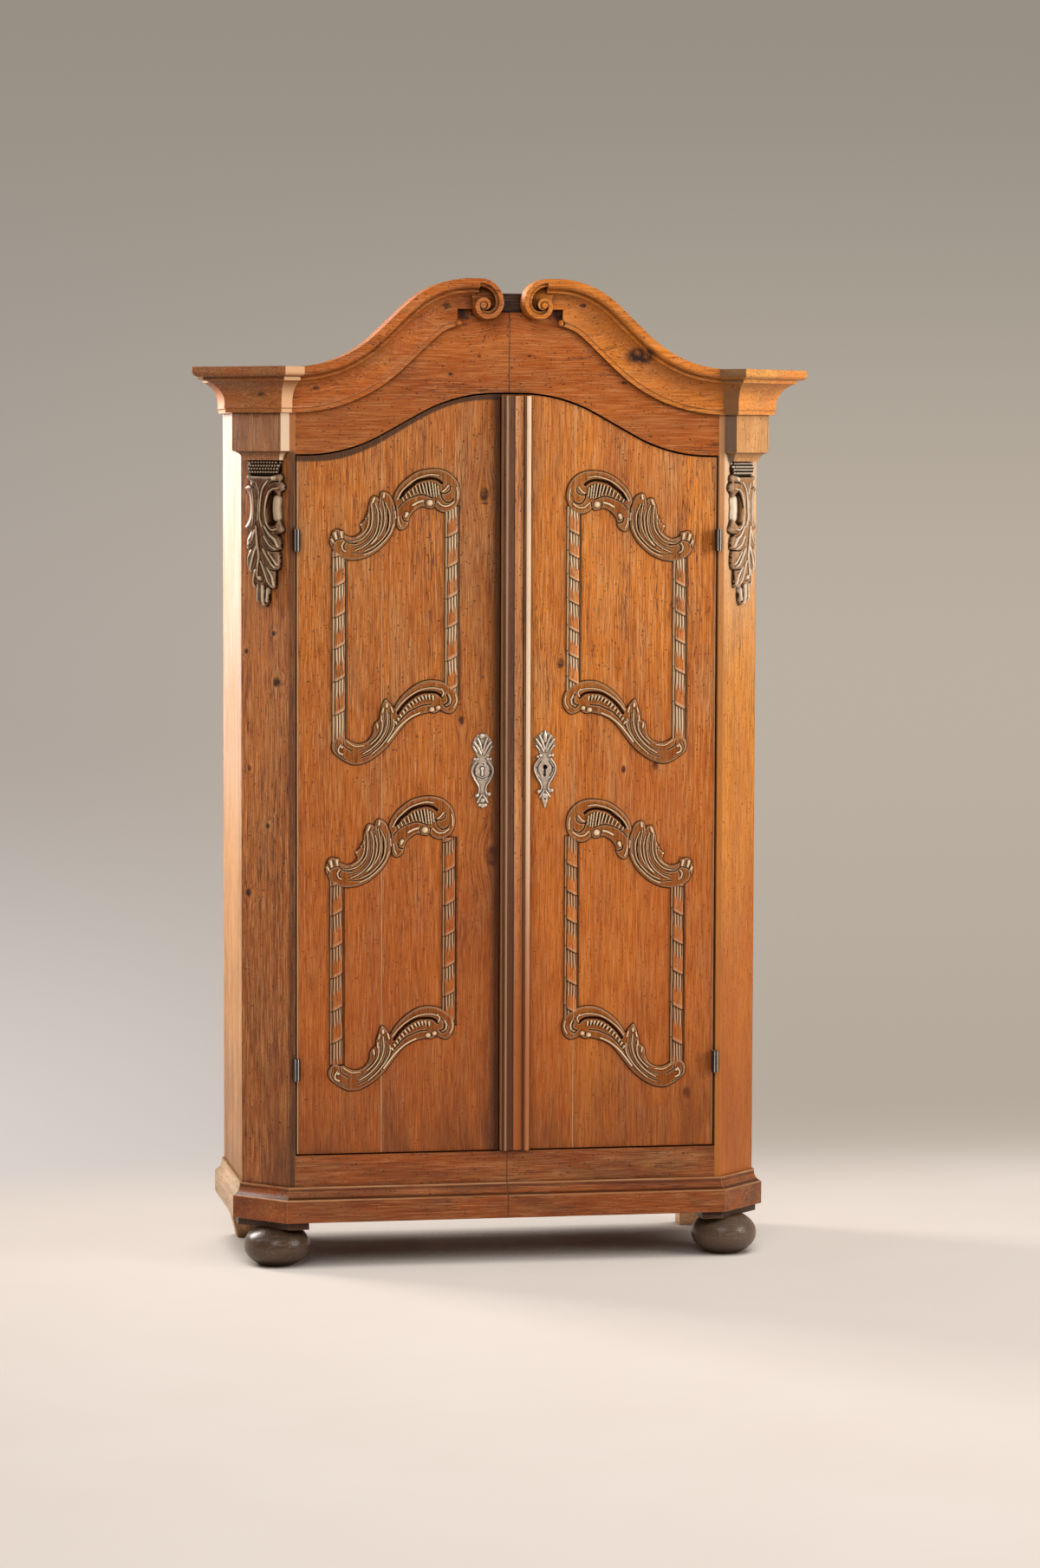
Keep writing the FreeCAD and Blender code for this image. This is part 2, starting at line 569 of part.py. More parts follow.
def volute(side):
    """Roll of one and a half turns with a rim and an eye, on a ground that closes its gap."""
    first = [number(f"sizes.scroll_{n}") for n in ("outer", "middle", "inner")]
    core = [number(f"sizes.scroll_{n}") for n in ("core", "core_middle", "core_inner")]
    level, reach = number("sizes.scroll_flat"), number("sizes.cornice_overhang")
    start, roll = spiral(first + core)

    def place(u, up):
        return V(side * u, 0, up)

    def turns(band, depth):
        inside, lining = spiral([radius - band for radius in first])
        steps = [(start[0] + level, start[1]), start] + roll + [lining[-1][1]]
        steps += turned(lining) + [(lining[0][0], inside), (inside[0] + level, inside[1])]
        return closed_face(steps, place).extrude(V(0, -depth, 0))

    ground = closed_face([(start[0] + level, start[1]), start] + roll[:3], place)
    eye, groove = number("sizes.scroll_eye"), number("sizes.scroll_eye_groove")
    middle = place(roll[2][1][0] - core[0], roll[2][1][1] + (core[0] - core[1]) / 2)
    front = middle + V(0, -reach, 0)
    ring = Part.makeCylinder(eye + groove, groove, front, V(0, 1, 0))
    ring = ring.cut(Part.makeCylinder(eye, 2 * groove, front + V(side * groove / 3, -groove / 2, groove / 3), V(0, 1, 0)))
    roll_out = turns(number("sizes.scroll_rim"), reach)
    roll_out = roll_out.fuse(turns(number("sizes.scroll_band"), reach - number("sizes.scroll_rim_height")))
    roll_out = roll_out.fuse(ground.extrude(V(0, number("sizes.scroll_recess") - reach, 0)))
    return roll_out.cut(ring)


def swan_neck(side):
    """Cornice along the pediment's line with its volute, mitred against the capital's cornice."""
    wall, top = side * number(STRIP), number(CORNICE_TOP)
    high, reach = number(PEDIMENT_TOP), number("sizes.cornice_overhang")
    line = pediment_line(side) + [(side * number(SCROLL_SIDE), high)]
    here = V(wall, 0, top)
    edges = []
    for step in line:
        arc = isinstance(step[0], tuple)
        end = step[1] if arc else step
        there = V(end[0], 0, end[1])
        middle = V(step[0][0], 0, step[0][1]) if arc else None
        edges.append((Part.Arc(here, middle, there) if arc else Part.LineSegment(here, there)).toShape())
        here = there
    base = number(CORNICE_BASE)
    face = closed_face(cornice_profile(0.0), lambda out, up: V(wall, -out, base + up))
    run = Part.Wire(edges).makePipeShell([face.OuterWire], True, False)
    stop, drop = number("sizes.bead_stop"), number("sizes.bead_stop_drop")
    below = closed_face([(0, 0), (stop, 0), (stop, high - drop), (0, high - drop)],
                        lambda u, up: V(side * u, -2 * reach, up))
    bead, ball = number("sizes.cornice_bead"), number("sizes.bead_ball")
    bead_z = high - number("sizes.cornice_height") + number("sizes.cornice_bead_height") / 2
    end_ball = Part.makeSphere(ball, V(side * (stop - 0.3 * ball), -0.8 * bead, bead_z))
    mitre = closed_face([(0, 0), (HALF_MITRE, -1), (-1, -1), (-1, 0)],
                        lambda u, v: V(wall - side * u * number(REACH), v * number(REACH), 0))
    behind = Part.makeBox(4 * ball, 4 * ball, 4 * ball, V(side * stop - 2 * ball, 0, bead_z - 2 * ball))
    neck = run.cut(below.extrude(V(0, 4 * reach, 0))).fuse(end_ball.cut(behind)).fuse(volute(side))
    return neck.cut(mitre.extrude(V(0, 0, high))).removeSplitter()


for hand, side in SIDES:
    keep(feature(f"arch_cornice_{hand}", swan_neck(side)), f"arch_cornice_{hand}")


# Capitals on the cants: block with a hollow below, cornice above, returned square at both ends
def capital_piece(label, side, steps, base, height):
    """Moulding on the front and both ends of a capital, filled behind as far as the cant."""
    far = number(REACH)
    strip, edge = number(STRIP), number(CARCASS)
    outward, along = V(side * SLANT, -SLANT, 0), V(side * SLANT, SLANT, 0)
    level = V(0, 0, number(base))
    inner, outer = V(side * strip, 0, 0) + level, V(side * edge, number("sizes.chamfer_run"), 0) + level
    front = inner + outward * number("sizes.capital_projection")
    runs = [
        straight_run(label + "_front", steps, front - along * far, outward, along, 4 * far),
        straight_run(label + "_inner", steps, inner - outward * far, -along, outward, 4 * far),
        straight_run(label + "_outer", steps, outer - outward * far, along, outward, 4 * far),
    ]
    plan = plan_prism(label + "_plan", (
        (f"{side} * {STRIP}", "0"),
        (f"{side} * ({STRIP} - {HALF_MITRE} * {REACH})", f"-{REACH}"),
        (f"{side} * ({CARCASS} + {REACH})", f"-{REACH}"),
        (f"{side} * ({CARCASS} + {REACH})", f"sizes.chamfer_run + {REACH}"),
    ), base, height)
    common = doc.addObject("Part::MultiCommon", label)
    common.Shapes = runs + [plan]
    keep(common, label)


INWARD = 2 * number(REACH)
reveal, hollow_top = number("sizes.capital_reveal"), number("sizes.capital_hollow")
capital_top = hollow_top + number("sizes.capital_height")
capital_steps = [(-INWARD, 0), (-reveal, 0), ((-0.72 * reveal, 0.68 * hollow_top), (0, hollow_top)),
                 (0, capital_top), (-INWARD, capital_top)]
CAPITAL_BASE = f"({CORNICE_BASE} - sizes.capital_height - sizes.capital_hollow)"
for hand, side in SIDES:
    capital_piece(f"capital_{hand}", side, capital_steps, CAPITAL_BASE,
                  "sizes.capital_height + sizes.capital_hollow")
    capital_piece(f"capital_cornice_{hand}", side, cornice_profile(INWARD), CORNICE_BASE,
                  "sizes.cornice_height")
    label = f"side_cornice_{hand}"
    run = straight_run(label + "_run", cornice_profile(0.0),
                       V(side * number(CARCASS), 0, number(CORNICE_BASE)),
                       V(side, 0, 0), V(0, 1, 0), number("sizes.carcass_depth"))
    plan = plan_prism(label + "_plan", (
        (f"{side} * {CARCASS}", "sizes.chamfer_run"),
        (f"{side} * ({CARCASS} + {REACH})", f"sizes.chamfer_run + {REACH}"),
        (f"{side} * ({CARCASS} + {REACH})", "sizes.carcass_depth"),
        (f"{side} * {CARCASS}", "sizes.carcass_depth"),
    ), CORNICE_BASE, "sizes.cornice_height")
    keep(combine("Part::Common", label, run, plan), label)


# Carved pendants under the capitals
def pendant(side):
    """Drop of leaves: one outline with bulging sides, a latticed band and two beads on it."""
    length, half = number("sizes.pendant_length"), number("sizes.pendant_width") / 2
    band_half, band = number("sizes.pendant_band_width") / 2, number("sizes.pendant_band_height")
    thick, band_thick = number("sizes.pendant_thickness"), number("sizes.pendant_band_thickness")
    bead = number("sizes.pendant_bead")
    waist = band_half - 0.35 * band
    middle = V(side * (number(STRIP) + number("sizes.chamfer_run") / 2), number("sizes.chamfer_run") / 2,
               number(CAPITAL_BASE))
    across, out = V(side * SLANT, SLANT, 0), V(side * SLANT, -SLANT, 0)

    def place(u, down):
        return middle + across * u - V(0, 0, down)

    right = [(band_half, 0), (waist, band), ((half, 0.26 * length), (0.55 * half, 0.47 * length)),
             ((0.78 * half, 0.6 * length), (0.3 * half, 0.84 * length)),
             ((0.26 * half, 0.95 * length), (0, length))]
    left = [((-m[0], m[1]), (-e[0], e[1])) for m, e in
            (((0.26 * half, 0.95 * length), (0.3 * half, 0.84 * length)),
             ((0.78 * half, 0.6 * length), (0.55 * half, 0.47 * length)),
             ((half, 0.26 * length), (waist, band)))]
    drop = closed_face(right + left + [(-band_half, 0)], place).extrude(out * thick)
    lattice = closed_face([(band_half, 0), (waist, band), (-waist, band), (-band_half, 0)], place)
    carved = drop.fuse(lattice.extrude(out * band_thick))
    for way in (-1, 1):
        seat = place(way * (waist - 0.4 * bead), band + 0.8 * bead)
        carved = carved.fuse(Part.makeSphere(bead, seat + out * (thick - 0.2 * bead)))
    return carved.removeSplitter()


for hand, side in SIDES:
    keep(feature(f"pendant_{hand}", pendant(side)), f"pendant_{hand}")


# Doors: two boards a leaf under the arch template, battens behind, astragal on the right leaf
def keyhole_cutter(name, x, y, depth):
    """Round hole with a slot below it, from front to back."""
    hole = doc.addObject("Part::Cylinder", name + "_round")
    hole.setExpression("Radius", "sizes.keyhole_radius")
    hole.setExpression("Height", depth)
    hole.Placement.Rotation = FreeCAD.Rotation(V(1, 0, 0), -90)
    hole.setExpression("Placement.Base.x", x)
    hole.setExpression("Placement.Base.y", y)
    hole.setExpression("Placement.Base.z", LOCK_Z)
    slot = box(name + "_slot", (f"{x} - sizes.keyhole_slot / 2", y, f"{LOCK_Z} - sizes.keyhole_drop"),
               ("sizes.keyhole_slot", depth, "sizes.keyhole_drop"))
    return combine("Part::Fuse", name, hole, slot)


DOOR_BLANK = f"{DOOR_TOP} - {DOOR_BOTTOM}"
BOARDS = (
    ("door_left_hinge_board", f"-{LEAF_EDGE}", f"{LEFT_SEAM} - sizes.seam / 2"),
    ("door_left_meeting_board", LEFT_SEAM, LEFT_MEETING),
    ("door_right_meeting_board", RIGHT_MEETING, "sizes.right_board_seam - sizes.seam / 2"),
    ("door_right_hinge_board", "sizes.right_board_seam", LEAF_EDGE),
)
KEYHOLE_X = "sizes.right_shield_x"
for label, low, high in BOARDS:
    blank = box(label + "_blank", (low, "sizes.door_recess", DOOR_BOTTOM),
                (f"{high} - ({low})", "sizes.door_thickness", DOOR_BLANK))
    board = combine("Part::Common", label + "_arched", blank, door_template)
    if label == "door_right_meeting_board":
        board = combine("Part::Cut", label + "_bored", board,
                        keyhole_cutter("door_keyhole", KEYHOLE_X, "0", "sizes.frame_thickness + 1"))
    keep(board, label)

for hand, low, high in (
        ("left", f"-({LEAF_EDGE} - sizes.batten_hinge_inset)",
         f"{LEFT_MEETING} - sizes.batten_meeting_inset"),
        ("right", f"{RIGHT_MEETING} + sizes.batten_meeting_inset",
         f"{LEAF_EDGE} - sizes.batten_hinge_inset")):
    battens = doc.addObject("Part::Compound", f"door_{hand}_battens")
    battens.Links = [
        box(f"door_{hand}_batten_{end}", (low, DOOR_BACK, z),
            (f"{high} - ({low})", "sizes.batten_thickness", "sizes.batten_height"))
        for end, z in (("low", f"{DOOR_BOTTOM} + sizes.batten_edge"),
                       ("high", f"{SHOULDER} - sizes.batten_edge - sizes.batten_height"))]
    keep(battens, f"door_{hand}_battens")

ASTRAGAL_Y = "(sizes.door_recess - sizes.astragal_thickness)"
astragal_height = f"{DOOR_BLANK} - sizes.door_gap"
strip = box("astragal_board", (RIGHT_MEETING, ASTRAGAL_Y, DOOR_BOTTOM),
            ("sizes.astragal_width", "sizes.astragal_thickness", astragal_height))
for end, x in (("left", f"{RIGHT_MEETING} + sizes.astragal_bead"),
               ("right", f"{RIGHT_MEETING} + sizes.astragal_width - sizes.astragal_bead")):
    bead = doc.addObject("Part::Cylinder", f"astragal_bead_{end}")
    bead.setExpression("Radius", "sizes.astragal_bead")
    bead.setExpression("Height", astragal_height)
    bead.setExpression("Placement.Base.x", x)
    bead.setExpression("Placement.Base.y", ASTRAGAL_Y)
    bead.setExpression("Placement.Base.z", DOOR_BOTTOM)
    strip = combine("Part::Fuse", f"astragal_with_{end}_bead", strip, bead)
keep(strip, "astragal")


# Hinges: the lower knuckle and leaf on the post, the upper knuckle and leaf on the door
def knuckle(side, base, height, leaf_at):
    """Tube around the pin with its leaf, which lies in the gap between post and door."""
    axis = V(side * number(PIVOT_X), number(PIVOT_Y), base)
    radius = number("sizes.knuckle_radius")
    bore = number("sizes.pin_radius") + number("sizes.pin_clear")
    thick = number("sizes.leaf_thickness")
    start = (radius + bore) / 2
    low = V(min(side * leaf_at, side * (leaf_at - thick)), axis.y + start, base)
    leaf = Part.makeBox(thick, number("sizes.leaf_depth") - axis.y - start, height, low)
    tube = Part.makeCylinder(radius, height, axis)
    return tube.fuse(leaf).cut(Part.makeCylinder(bore, height, axis)).removeSplitter()


HINGES = (f"{DOOR_BOTTOM} + sizes.hinge_lift", f"{SHOULDER} - sizes.hinge_drop")
knuckle_height = (number("sizes.hinge_height") - number("sizes.knuckle_gap")) / 2
post_leaves, pins = [], []
for hand, side in SIDES:
    door_leaves = []
    for middle in HINGES:
        low = number(middle) - number("sizes.hinge_height") / 2
        high = low + knuckle_height + number("sizes.knuckle_gap")
        post_leaves.append(knuckle(side, low, knuckle_height, number(OPEN)))
        door_leaf = number(LEAF_EDGE) + number("sizes.leaf_thickness")
        door_leaves.append(knuckle(side, high, knuckle_height, door_leaf))
        pins.append(Part.makeCylinder(number("sizes.pin_radius"), number("sizes.hinge_height"),
                                      V(side * number(PIVOT_X), number(PIVOT_Y), low)))
    label = f"hinge_door_leaves_{hand}"
    keep(feature(label, Part.makeCompound(door_leaves)), label)
keep(feature("hinge_post_leaves", Part.makeCompound(post_leaves)), "hinge_post_leaves")
keep(feature("hinge_pins", Part.makeCompound(pins)), "hinge_pins")


# Escutcheons: an oval plate with a lobed top and a pointed drop
def shield(x):
    half, tall = number("sizes.shield_width") / 2, number("sizes.shield_height") / 2
    thick, face = number("sizes.shield_thickness"), number("sizes.door_recess")
    centre = V(x, face, number(LOCK_Z))

    def place(u, up):
        return centre + V(u, 0, up)

    right = [(0, tall), ((0.34 * half, 0.86 * tall), (0.28 * half, 0.74 * tall)),
             ((0.85 * half, 0.66 * tall), (0.4 * half, 0.5 * tall)),
             ((half, 0.08 * tall), (0.36 * half, -0.4 * tall)),
             ((0.8 * half, -0.52 * tall), (0.34 * half, -0.66 * tall)), (0, -tall)]
    left = [((-m[0], m[1]), (-e[0], e[1])) for m, e in
            ((right[i][0], right[i - 1][1]) for i in (4, 3, 2))]
    left.append(((-right[1][0][0], right[1][0][1]), (0, tall)))
    corner = (-right[4][1][0], right[4][1][1])
    return closed_face(right + [corner] + left, place).extrude(V(0, -thick, 0))


left_shield = feature("escutcheon_left", shield(-number("sizes.left_shield_x")))
keep(left_shield, "escutcheon_left")
right_blank = feature("escutcheon_right_blank", shield(number(KEYHOLE_X)))
keep(combine("Part::Cut", "escutcheon_right", right_blank,
             keyhole_cutter("shield_keyhole", KEYHOLE_X, "-sizes.door_recess", "2 * sizes.door_recess + 1")),
     "escutcheon_right")

# Box lock on the right leaf: case open towards the door, bolt through its edge, keeper on the left leaf
CASE_X = f"({RIGHT_MEETING} + sizes.case_inset)"
CASE_Z = f"({LOCK_Z} - sizes.case_height / 2)"
BOLT_Y = f"({DOOR_BACK} + sizes.bolt_seat)"
BOLT_Z = f"({LOCK_Z} - sizes.bolt_height / 2)"


def around_bolt(name, low, length, clear):
    """Clear way for the lock bolt, from one place along it."""
    return box(name, (low, f"{BOLT_Y} - {clear}", f"{BOLT_Z} - {clear}"),
               (length, f"sizes.bolt_depth + 2 * {clear}", f"sizes.bolt_height + 2 * {clear}"))


case = box("lock_case_shell", (CASE_X, DOOR_BACK, CASE_Z),
           ("sizes.case_width", "sizes.case_depth", "sizes.case_height"))
hollow = box("lock_case_hollow", (f"{CASE_X} + sizes.case_wall", DOOR_BACK, f"{CASE_Z} + sizes.case_wall"),
             ("sizes.case_width - 2 * sizes.case_wall", "sizes.case_depth - sizes.case_wall",
              "sizes.case_height - 2 * sizes.case_wall"))
case = combine("Part::Cut", "lock_case_hollowed", case, hollow)
keep(combine("Part::Cut", "lock_case", case,
             around_bolt("lock_case_slot", f"{CASE_X} - 1", "sizes.case_wall + 2", "sizes.bolt_clear")),
     "lock_case")
keep(box("lock_bolt", (f"{CASE_X} + sizes.bolt_clear", BOLT_Y, BOLT_Z),
         ("sizes.bolt_length", "sizes.bolt_depth", "sizes.bolt_height")), "lock_bolt")
KEEPER_X = f"({LEFT_MEETING} - sizes.keeper_inset - sizes.keeper_width)"
keeper = box("lock_keeper_block", (KEEPER_X, DOOR_BACK, f"{LOCK_Z} - sizes.keeper_height / 2"),
             ("sizes.keeper_width", "sizes.bolt_seat + sizes.bolt_depth + sizes.keeper_wall",
              "sizes.keeper_height"))
keep(combine("Part::Cut", "lock_keeper", keeper,
             around_bolt("lock_keeper_slot", f"{KEEPER_X} + sizes.keeper_wall", "sizes.keeper_width",
                         "sizes.keeper_clear")), "lock_keeper")

# Slide bolts on the left leaf, each in two staples
SLIDE_Y = f"({DOOR_BACK} + sizes.slide_clear)"
staples = []
for end, tip, way in (("upper", DOOR_TOP, -1), ("lower", DOOR_BOTTOM, 1)):
    base = f"({tip} + {way} * sizes.slide_end)"
    far = f"({base} + {way} * sizes.slide_length)"
    bar = box(f"{end}_bolt_bar", (f"{SLIDE_X} - sizes.slide_width / 2", SLIDE_Y, far if way < 0 else base),
              ("sizes.slide_width", "sizes.slide_thickness", "sizes.slide_length"))
    knob = doc.addObject("Part::Cylinder", f"{end}_bolt_knob")
    knob.setExpression("Radius", "sizes.slide_knob")
    knob.setExpression("Height", "sizes.slide_knob_reach")
    knob.Placement.Rotation = FreeCAD.Rotation(V(1, 0, 0), -90)
    knob.setExpression("Placement.Base.x", SLIDE_X)
    knob.setExpression("Placement.Base.y", f"{SLIDE_Y} + sizes.slide_thickness / 2")
    knob.setExpression("Placement.Base.z", f"{far} - {way} * 3 * sizes.slide_knob")
    keep(combine("Part::Fuse", f"{end}_bolt", bar, knob), f"{end}_bolt")
    for near in ("staple_near", "staple_far"):
        z = f"{tip} + {way} * sizes.{near} - sizes.staple_height / 2"
        wide = "sizes.slide_width + 2 * sizes.slide_clear"
        deep = "sizes.slide_thickness + 2 * sizes.slide_clear"
        block = box(f"{end}_{near}_block", (f"{SLIDE_X} - ({wide}) / 2 - sizes.staple_wall", DOOR_BACK, z),
                    (f"{wide} + 2 * sizes.staple_wall", f"{deep} + sizes.staple_wall", "sizes.staple_height"))
        way_through = box(f"{end}_{near}_way", (f"{SLIDE_X} - ({wide}) / 2", DOOR_BACK, z),
                          (wide, deep, "sizes.staple_height"))
        staples.append(combine("Part::Cut", f"{end}_{near}", block, way_through))
bolt_staples = doc.addObject("Part::Compound", "bolt_staples")
bolt_staples.Links = staples
keep(bolt_staples, "bolt_staples")

doc.recompute()

# Every object has to be sound before anything is written
failed = [o.Name for o in doc.Objects if "Invalid" in o.State or "Error" in o.State]
if failed:
    raise RuntimeError(f"objects that failed: {failed}")
for piece in parts:
    if piece.Shape.isNull() or not piece.Shape.isValid() or not piece.Shape.Solids:
        raise RuntimeError(f"{piece.Label} has no sound shape")

# Pieces are drawn from the door plane and stand over the middle of the depth, cornice included
CORNICE_FRONT = f"{SLANT} * (sizes.capital_projection + 2 * sizes.cornice_overhang)"
middle = number(f"(sizes.carcass_depth - {CORNICE_FRONT}) / 2")
os.makedirs("parts", exist_ok=True)
for piece in parts:
    piece.Shape.translated(V(0, -middle, 0)).exportStep(f"parts/{piece.Label}.step")
    print(f"{piece.Label}: {len(piece.Shape.Solids)} solids, {piece.Shape.Volume / 1000:.1f} cm3")
print(f"{len(parts)} parts, door plane at {-middle:.3f} mm")
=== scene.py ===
"""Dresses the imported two-door pine armoire with its wood, carving, plates and studio."""

from __future__ import annotations

import logging
import math
from dataclasses import dataclass
from enum import Enum
from typing import Any, Iterable, Sequence

import bpy
import numpy as np
from mathutils import Matrix, Vector


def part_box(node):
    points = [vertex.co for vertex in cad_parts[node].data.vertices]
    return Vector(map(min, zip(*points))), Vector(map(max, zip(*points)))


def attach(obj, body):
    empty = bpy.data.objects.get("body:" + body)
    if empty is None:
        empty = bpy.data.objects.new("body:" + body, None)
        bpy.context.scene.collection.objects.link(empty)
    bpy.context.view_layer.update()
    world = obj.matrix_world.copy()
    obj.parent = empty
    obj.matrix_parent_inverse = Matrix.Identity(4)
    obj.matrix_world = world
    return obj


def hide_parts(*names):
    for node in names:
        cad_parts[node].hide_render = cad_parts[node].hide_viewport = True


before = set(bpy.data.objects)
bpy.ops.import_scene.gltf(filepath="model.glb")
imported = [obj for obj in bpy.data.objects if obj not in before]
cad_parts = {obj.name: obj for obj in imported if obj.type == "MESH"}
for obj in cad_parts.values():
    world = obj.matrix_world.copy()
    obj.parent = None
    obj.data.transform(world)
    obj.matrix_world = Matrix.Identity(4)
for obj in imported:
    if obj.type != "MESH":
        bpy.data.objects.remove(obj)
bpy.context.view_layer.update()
NODES: dict[str, bpy.types.Object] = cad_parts
LOG = logging.getLogger("armoire")
MM = 0.001
# Farther than any carving reaches, in mm.
FAR = 1e3
Point = tuple[float, float]
Place = tuple[float, float, float]
Widths = float | tuple[float, ...]
Coat = tuple[Any, Any]


class Side(Enum):
    """Which hand of the armoire a piece is on, as the viewer sees it."""

    LEFT = "left"
    RIGHT = "right"

    @property
    def sign(self) -> float:
        """Gives -1 on the left and 1 on the right."""
        return -1.0 if self is Side.LEFT else 1.0


class Grain(Enum):
    """The way a board's fibres run: the axes along them, across them and through the board."""

    UPRIGHT = "ZXY"
    LEVEL = "XZY"
    DEEP = "YZX"


class Cut(Enum):
    """How a stroke of the carver's gouge shapes the wood, and what it paints: a line a painted highlight,
    a groove dirt and painted shade, and a hole black as the shade inside it.
    """

    BODY = "body"
    LINE = "line"
    RIDGE = "ridge"
    FLAT = "flat"
    GROOVE = "groove"
    HOLE = "hole"

    def __call__(self, width: Widths, height: float, *path: Point) -> Stroke:
        """Gives a stroke of this kind.

        Args:
            width: Its half width in mm, or several along its path.
            height: How far it stands up or goes down, in mm.
            path: The points that it passes, in mm.

        Returns:
            The stroke.
        """
        return Stroke(self, width if isinstance(width, tuple) else (width,), height, path)


def pair(*stems: str) -> tuple[str, ...]:
    """Names the left and the right node of each stem."""
    return tuple(f"{stem}_{side.value}" for stem in stems for side in Side)


def tone(code: str) -> tuple[float, float, float, float]:
    """Turns an sRGB hex colour into linear light.

    Args:
        code: The colour, written as #rrggbb.

    Returns:
        Red, green, blue and an alpha of 1.
    """
    parts = [int(code[i : i + 2], 16) / 255 for i in (1, 3, 5)]
    line = [p / 12.92 if p <= 0.04045 else ((p + 0.055) / 1.055) ** 2.4 for p in parts]
    return (line[0], line[1], line[2], 1.0)


def add(
    tree: bpy.types.NodeTree,
    kind: str,
    inputs: dict[Any, Any] | None = None,
    out: int | str = 0,
    **settings: Any,
) -> bpy.types.NodeSocket | None:
    """Adds one node with its settings, constants and links.

    Args:
        tree: The material's node tree.
        kind: The node's type name, without its usual first word.
        inputs: A socket to link from, or a constant, for each input by name or place.
        out: The output to give back.
        settings: The node's own properties.

    Returns:
        The chosen output, or None for a node that has none.
    """
    node = tree.nodes.new(f"ShaderNode{kind}")
    for name, value in settings.items():
        setattr(node, name, value)
    for key, value in (inputs or {}).items():
        if isinstance(value, bpy.types.NodeSocket):
            tree.links.new(value, node.inputs[key])
        else:
            node.inputs[key].default_value = value
    return node.outputs[out] if node.outputs else None


def painted(tree: bpy.types.NodeTree, colour: Any, coats: Iterable[Coat]) -> Any:
    """Lays coats of colour over a ground, one after another.

    Args:
        tree: The material's node tree.
        colour: The ground, as a hex colour or a socket.
        coats: How far each coat covers, as a socket, and its colour.

    Returns:
        The colour's socket.
    """
    for share, over in coats:
        under, cover = (tone(c) if isinstance(c, str) else c for c in (colour, over))
        colour = add(tree, "Mix", {0: share, 6: under, 7: cover}, 2, data_type="RGBA")
    return colour


def empty_material(name: str) -> tuple[bpy.types.Material, bpy.types.NodeTree]:
    """Makes a material with only an empty node tree.

    Args:
        name: The finish's name.

    Returns:
        The material and its node tree.
    """
    material = bpy.data.materials.new(name)
    material.use_nodes = True
    material.node_tree.nodes.clear()
    return material, material.node_tree


@dataclass(frozen=True)
class Mark:
    """Noise drawn out along the grain: its size in mm, its finer layers and what of it shows."""

    length: float
    width: float
    layers: float
    shift: float
    low: float = 0.0
    high: float = 1.0

    def noise(self, tree: bpy.types.NodeTree, grain: Any) -> Any:
        """Gives the bare noise.

        Args:
            tree: The material's node tree.
            grain: The place along, across and through the grain.

        Returns:
            The noise's socket.
        """
        size = tuple(1 / (side * MM) for side in (self.length, self.width, self.width))
        drawn = {"Vector": grain, "Location": (self.shift,) * 3, "Scale": size}
        scaled = add(tree, "Mapping", drawn)
        look = {"Vector": scaled, "Scale": 1.0, "Detail": self.layers, "Roughness": 0.62}
        return add(tree, "TexNoise", look)

    def draw(self, tree: bpy.types.NodeTree, grain: Any, share: float = 1.0) -> Any:
        """Gives the marks alone.

        Args:
            tree: The material's node tree.
            grain: The place along, across and through the grain.
            share: How strong the marks are.

        Returns:
            The marks' socket.
        """
        cut = {0: self.noise(tree, grain), 1: self.low, 2: self.high, 4: share}
        return add(tree, "MapRange", cut)


# Clouds of colour two hands wide, faded patches, late wood in streaks about 9 mm apart, and
# fibres drawn 2 mm wide, coarser than real ones so that they show, dark and pale.
CLOUDS = Mark(480, 170, 3.0, 1.3, 0.36, 0.64)
FADING = Mark(260, 60, 4.0, 8.8, 0.48, 0.70)
STREAKS = Mark(520, 9, 4.0, 4.1, 0.46, 0.74)
FIBRES = Mark(60, 2.2, 4.0, 7.7)
# Year rings, which wander over a hand's width.
WANDER = Mark(520, 75, 2.0, 2.9)
RING_GAP = 12 * MM
RING_SWAY = 30.0
# Drying checks: dark slits about 1 mm wide that gather in patches, and short flecks of resin
# and old worm holes.
SLITS = Mark(150, 8.0, 2.0, 9.2)
PATCHES = Mark(330, 60, 2.0, 5.5, 0.50, 0.66)
FLECKS = Mark(25, 1.8, 1.0, 6.6, 0.68, 0.74)
WORM_HOLES = Mark(4.5, 3.6, 0.0, 2.2, 0.74, 0.79)
# The uneven rims of knots and stains.
KNOT_RIM = Mark(14, 9, 3.0, 3.3, 0.2, 0.55)
STAIN_RIM = Mark(190, 45, 4.0, 6.1, 0.25, 0.62)
# How far the grain of one board is from that of the board beside it, in metres.
BOARD_SHIFT = 3.7
TAN = "#c08a55"
PALE_FIBRE = "#e2b07a"
CHECK_INK = "#2f1408"
KNOT_AND_SHADE_INK = "#33160a"
# Dust and painted shade in the corners.
CORNER_DUST_AND_SHADE = "#241006"
# Painted shade on undersides.
UNDERSIDE_SHADE = "#2a1408"
RUBBED_EDGE = "#d6995f"
CARVED_DIRT_AND_SHADE = "#1c0900"


@dataclass(frozen=True)
class Knot:
    """A knot in a board, or another dark eye such as a peg or a patch of painted shade: its place along
    and across the grain, and its radius, in metres.
    """

    along: float
    across: float
    radius: float


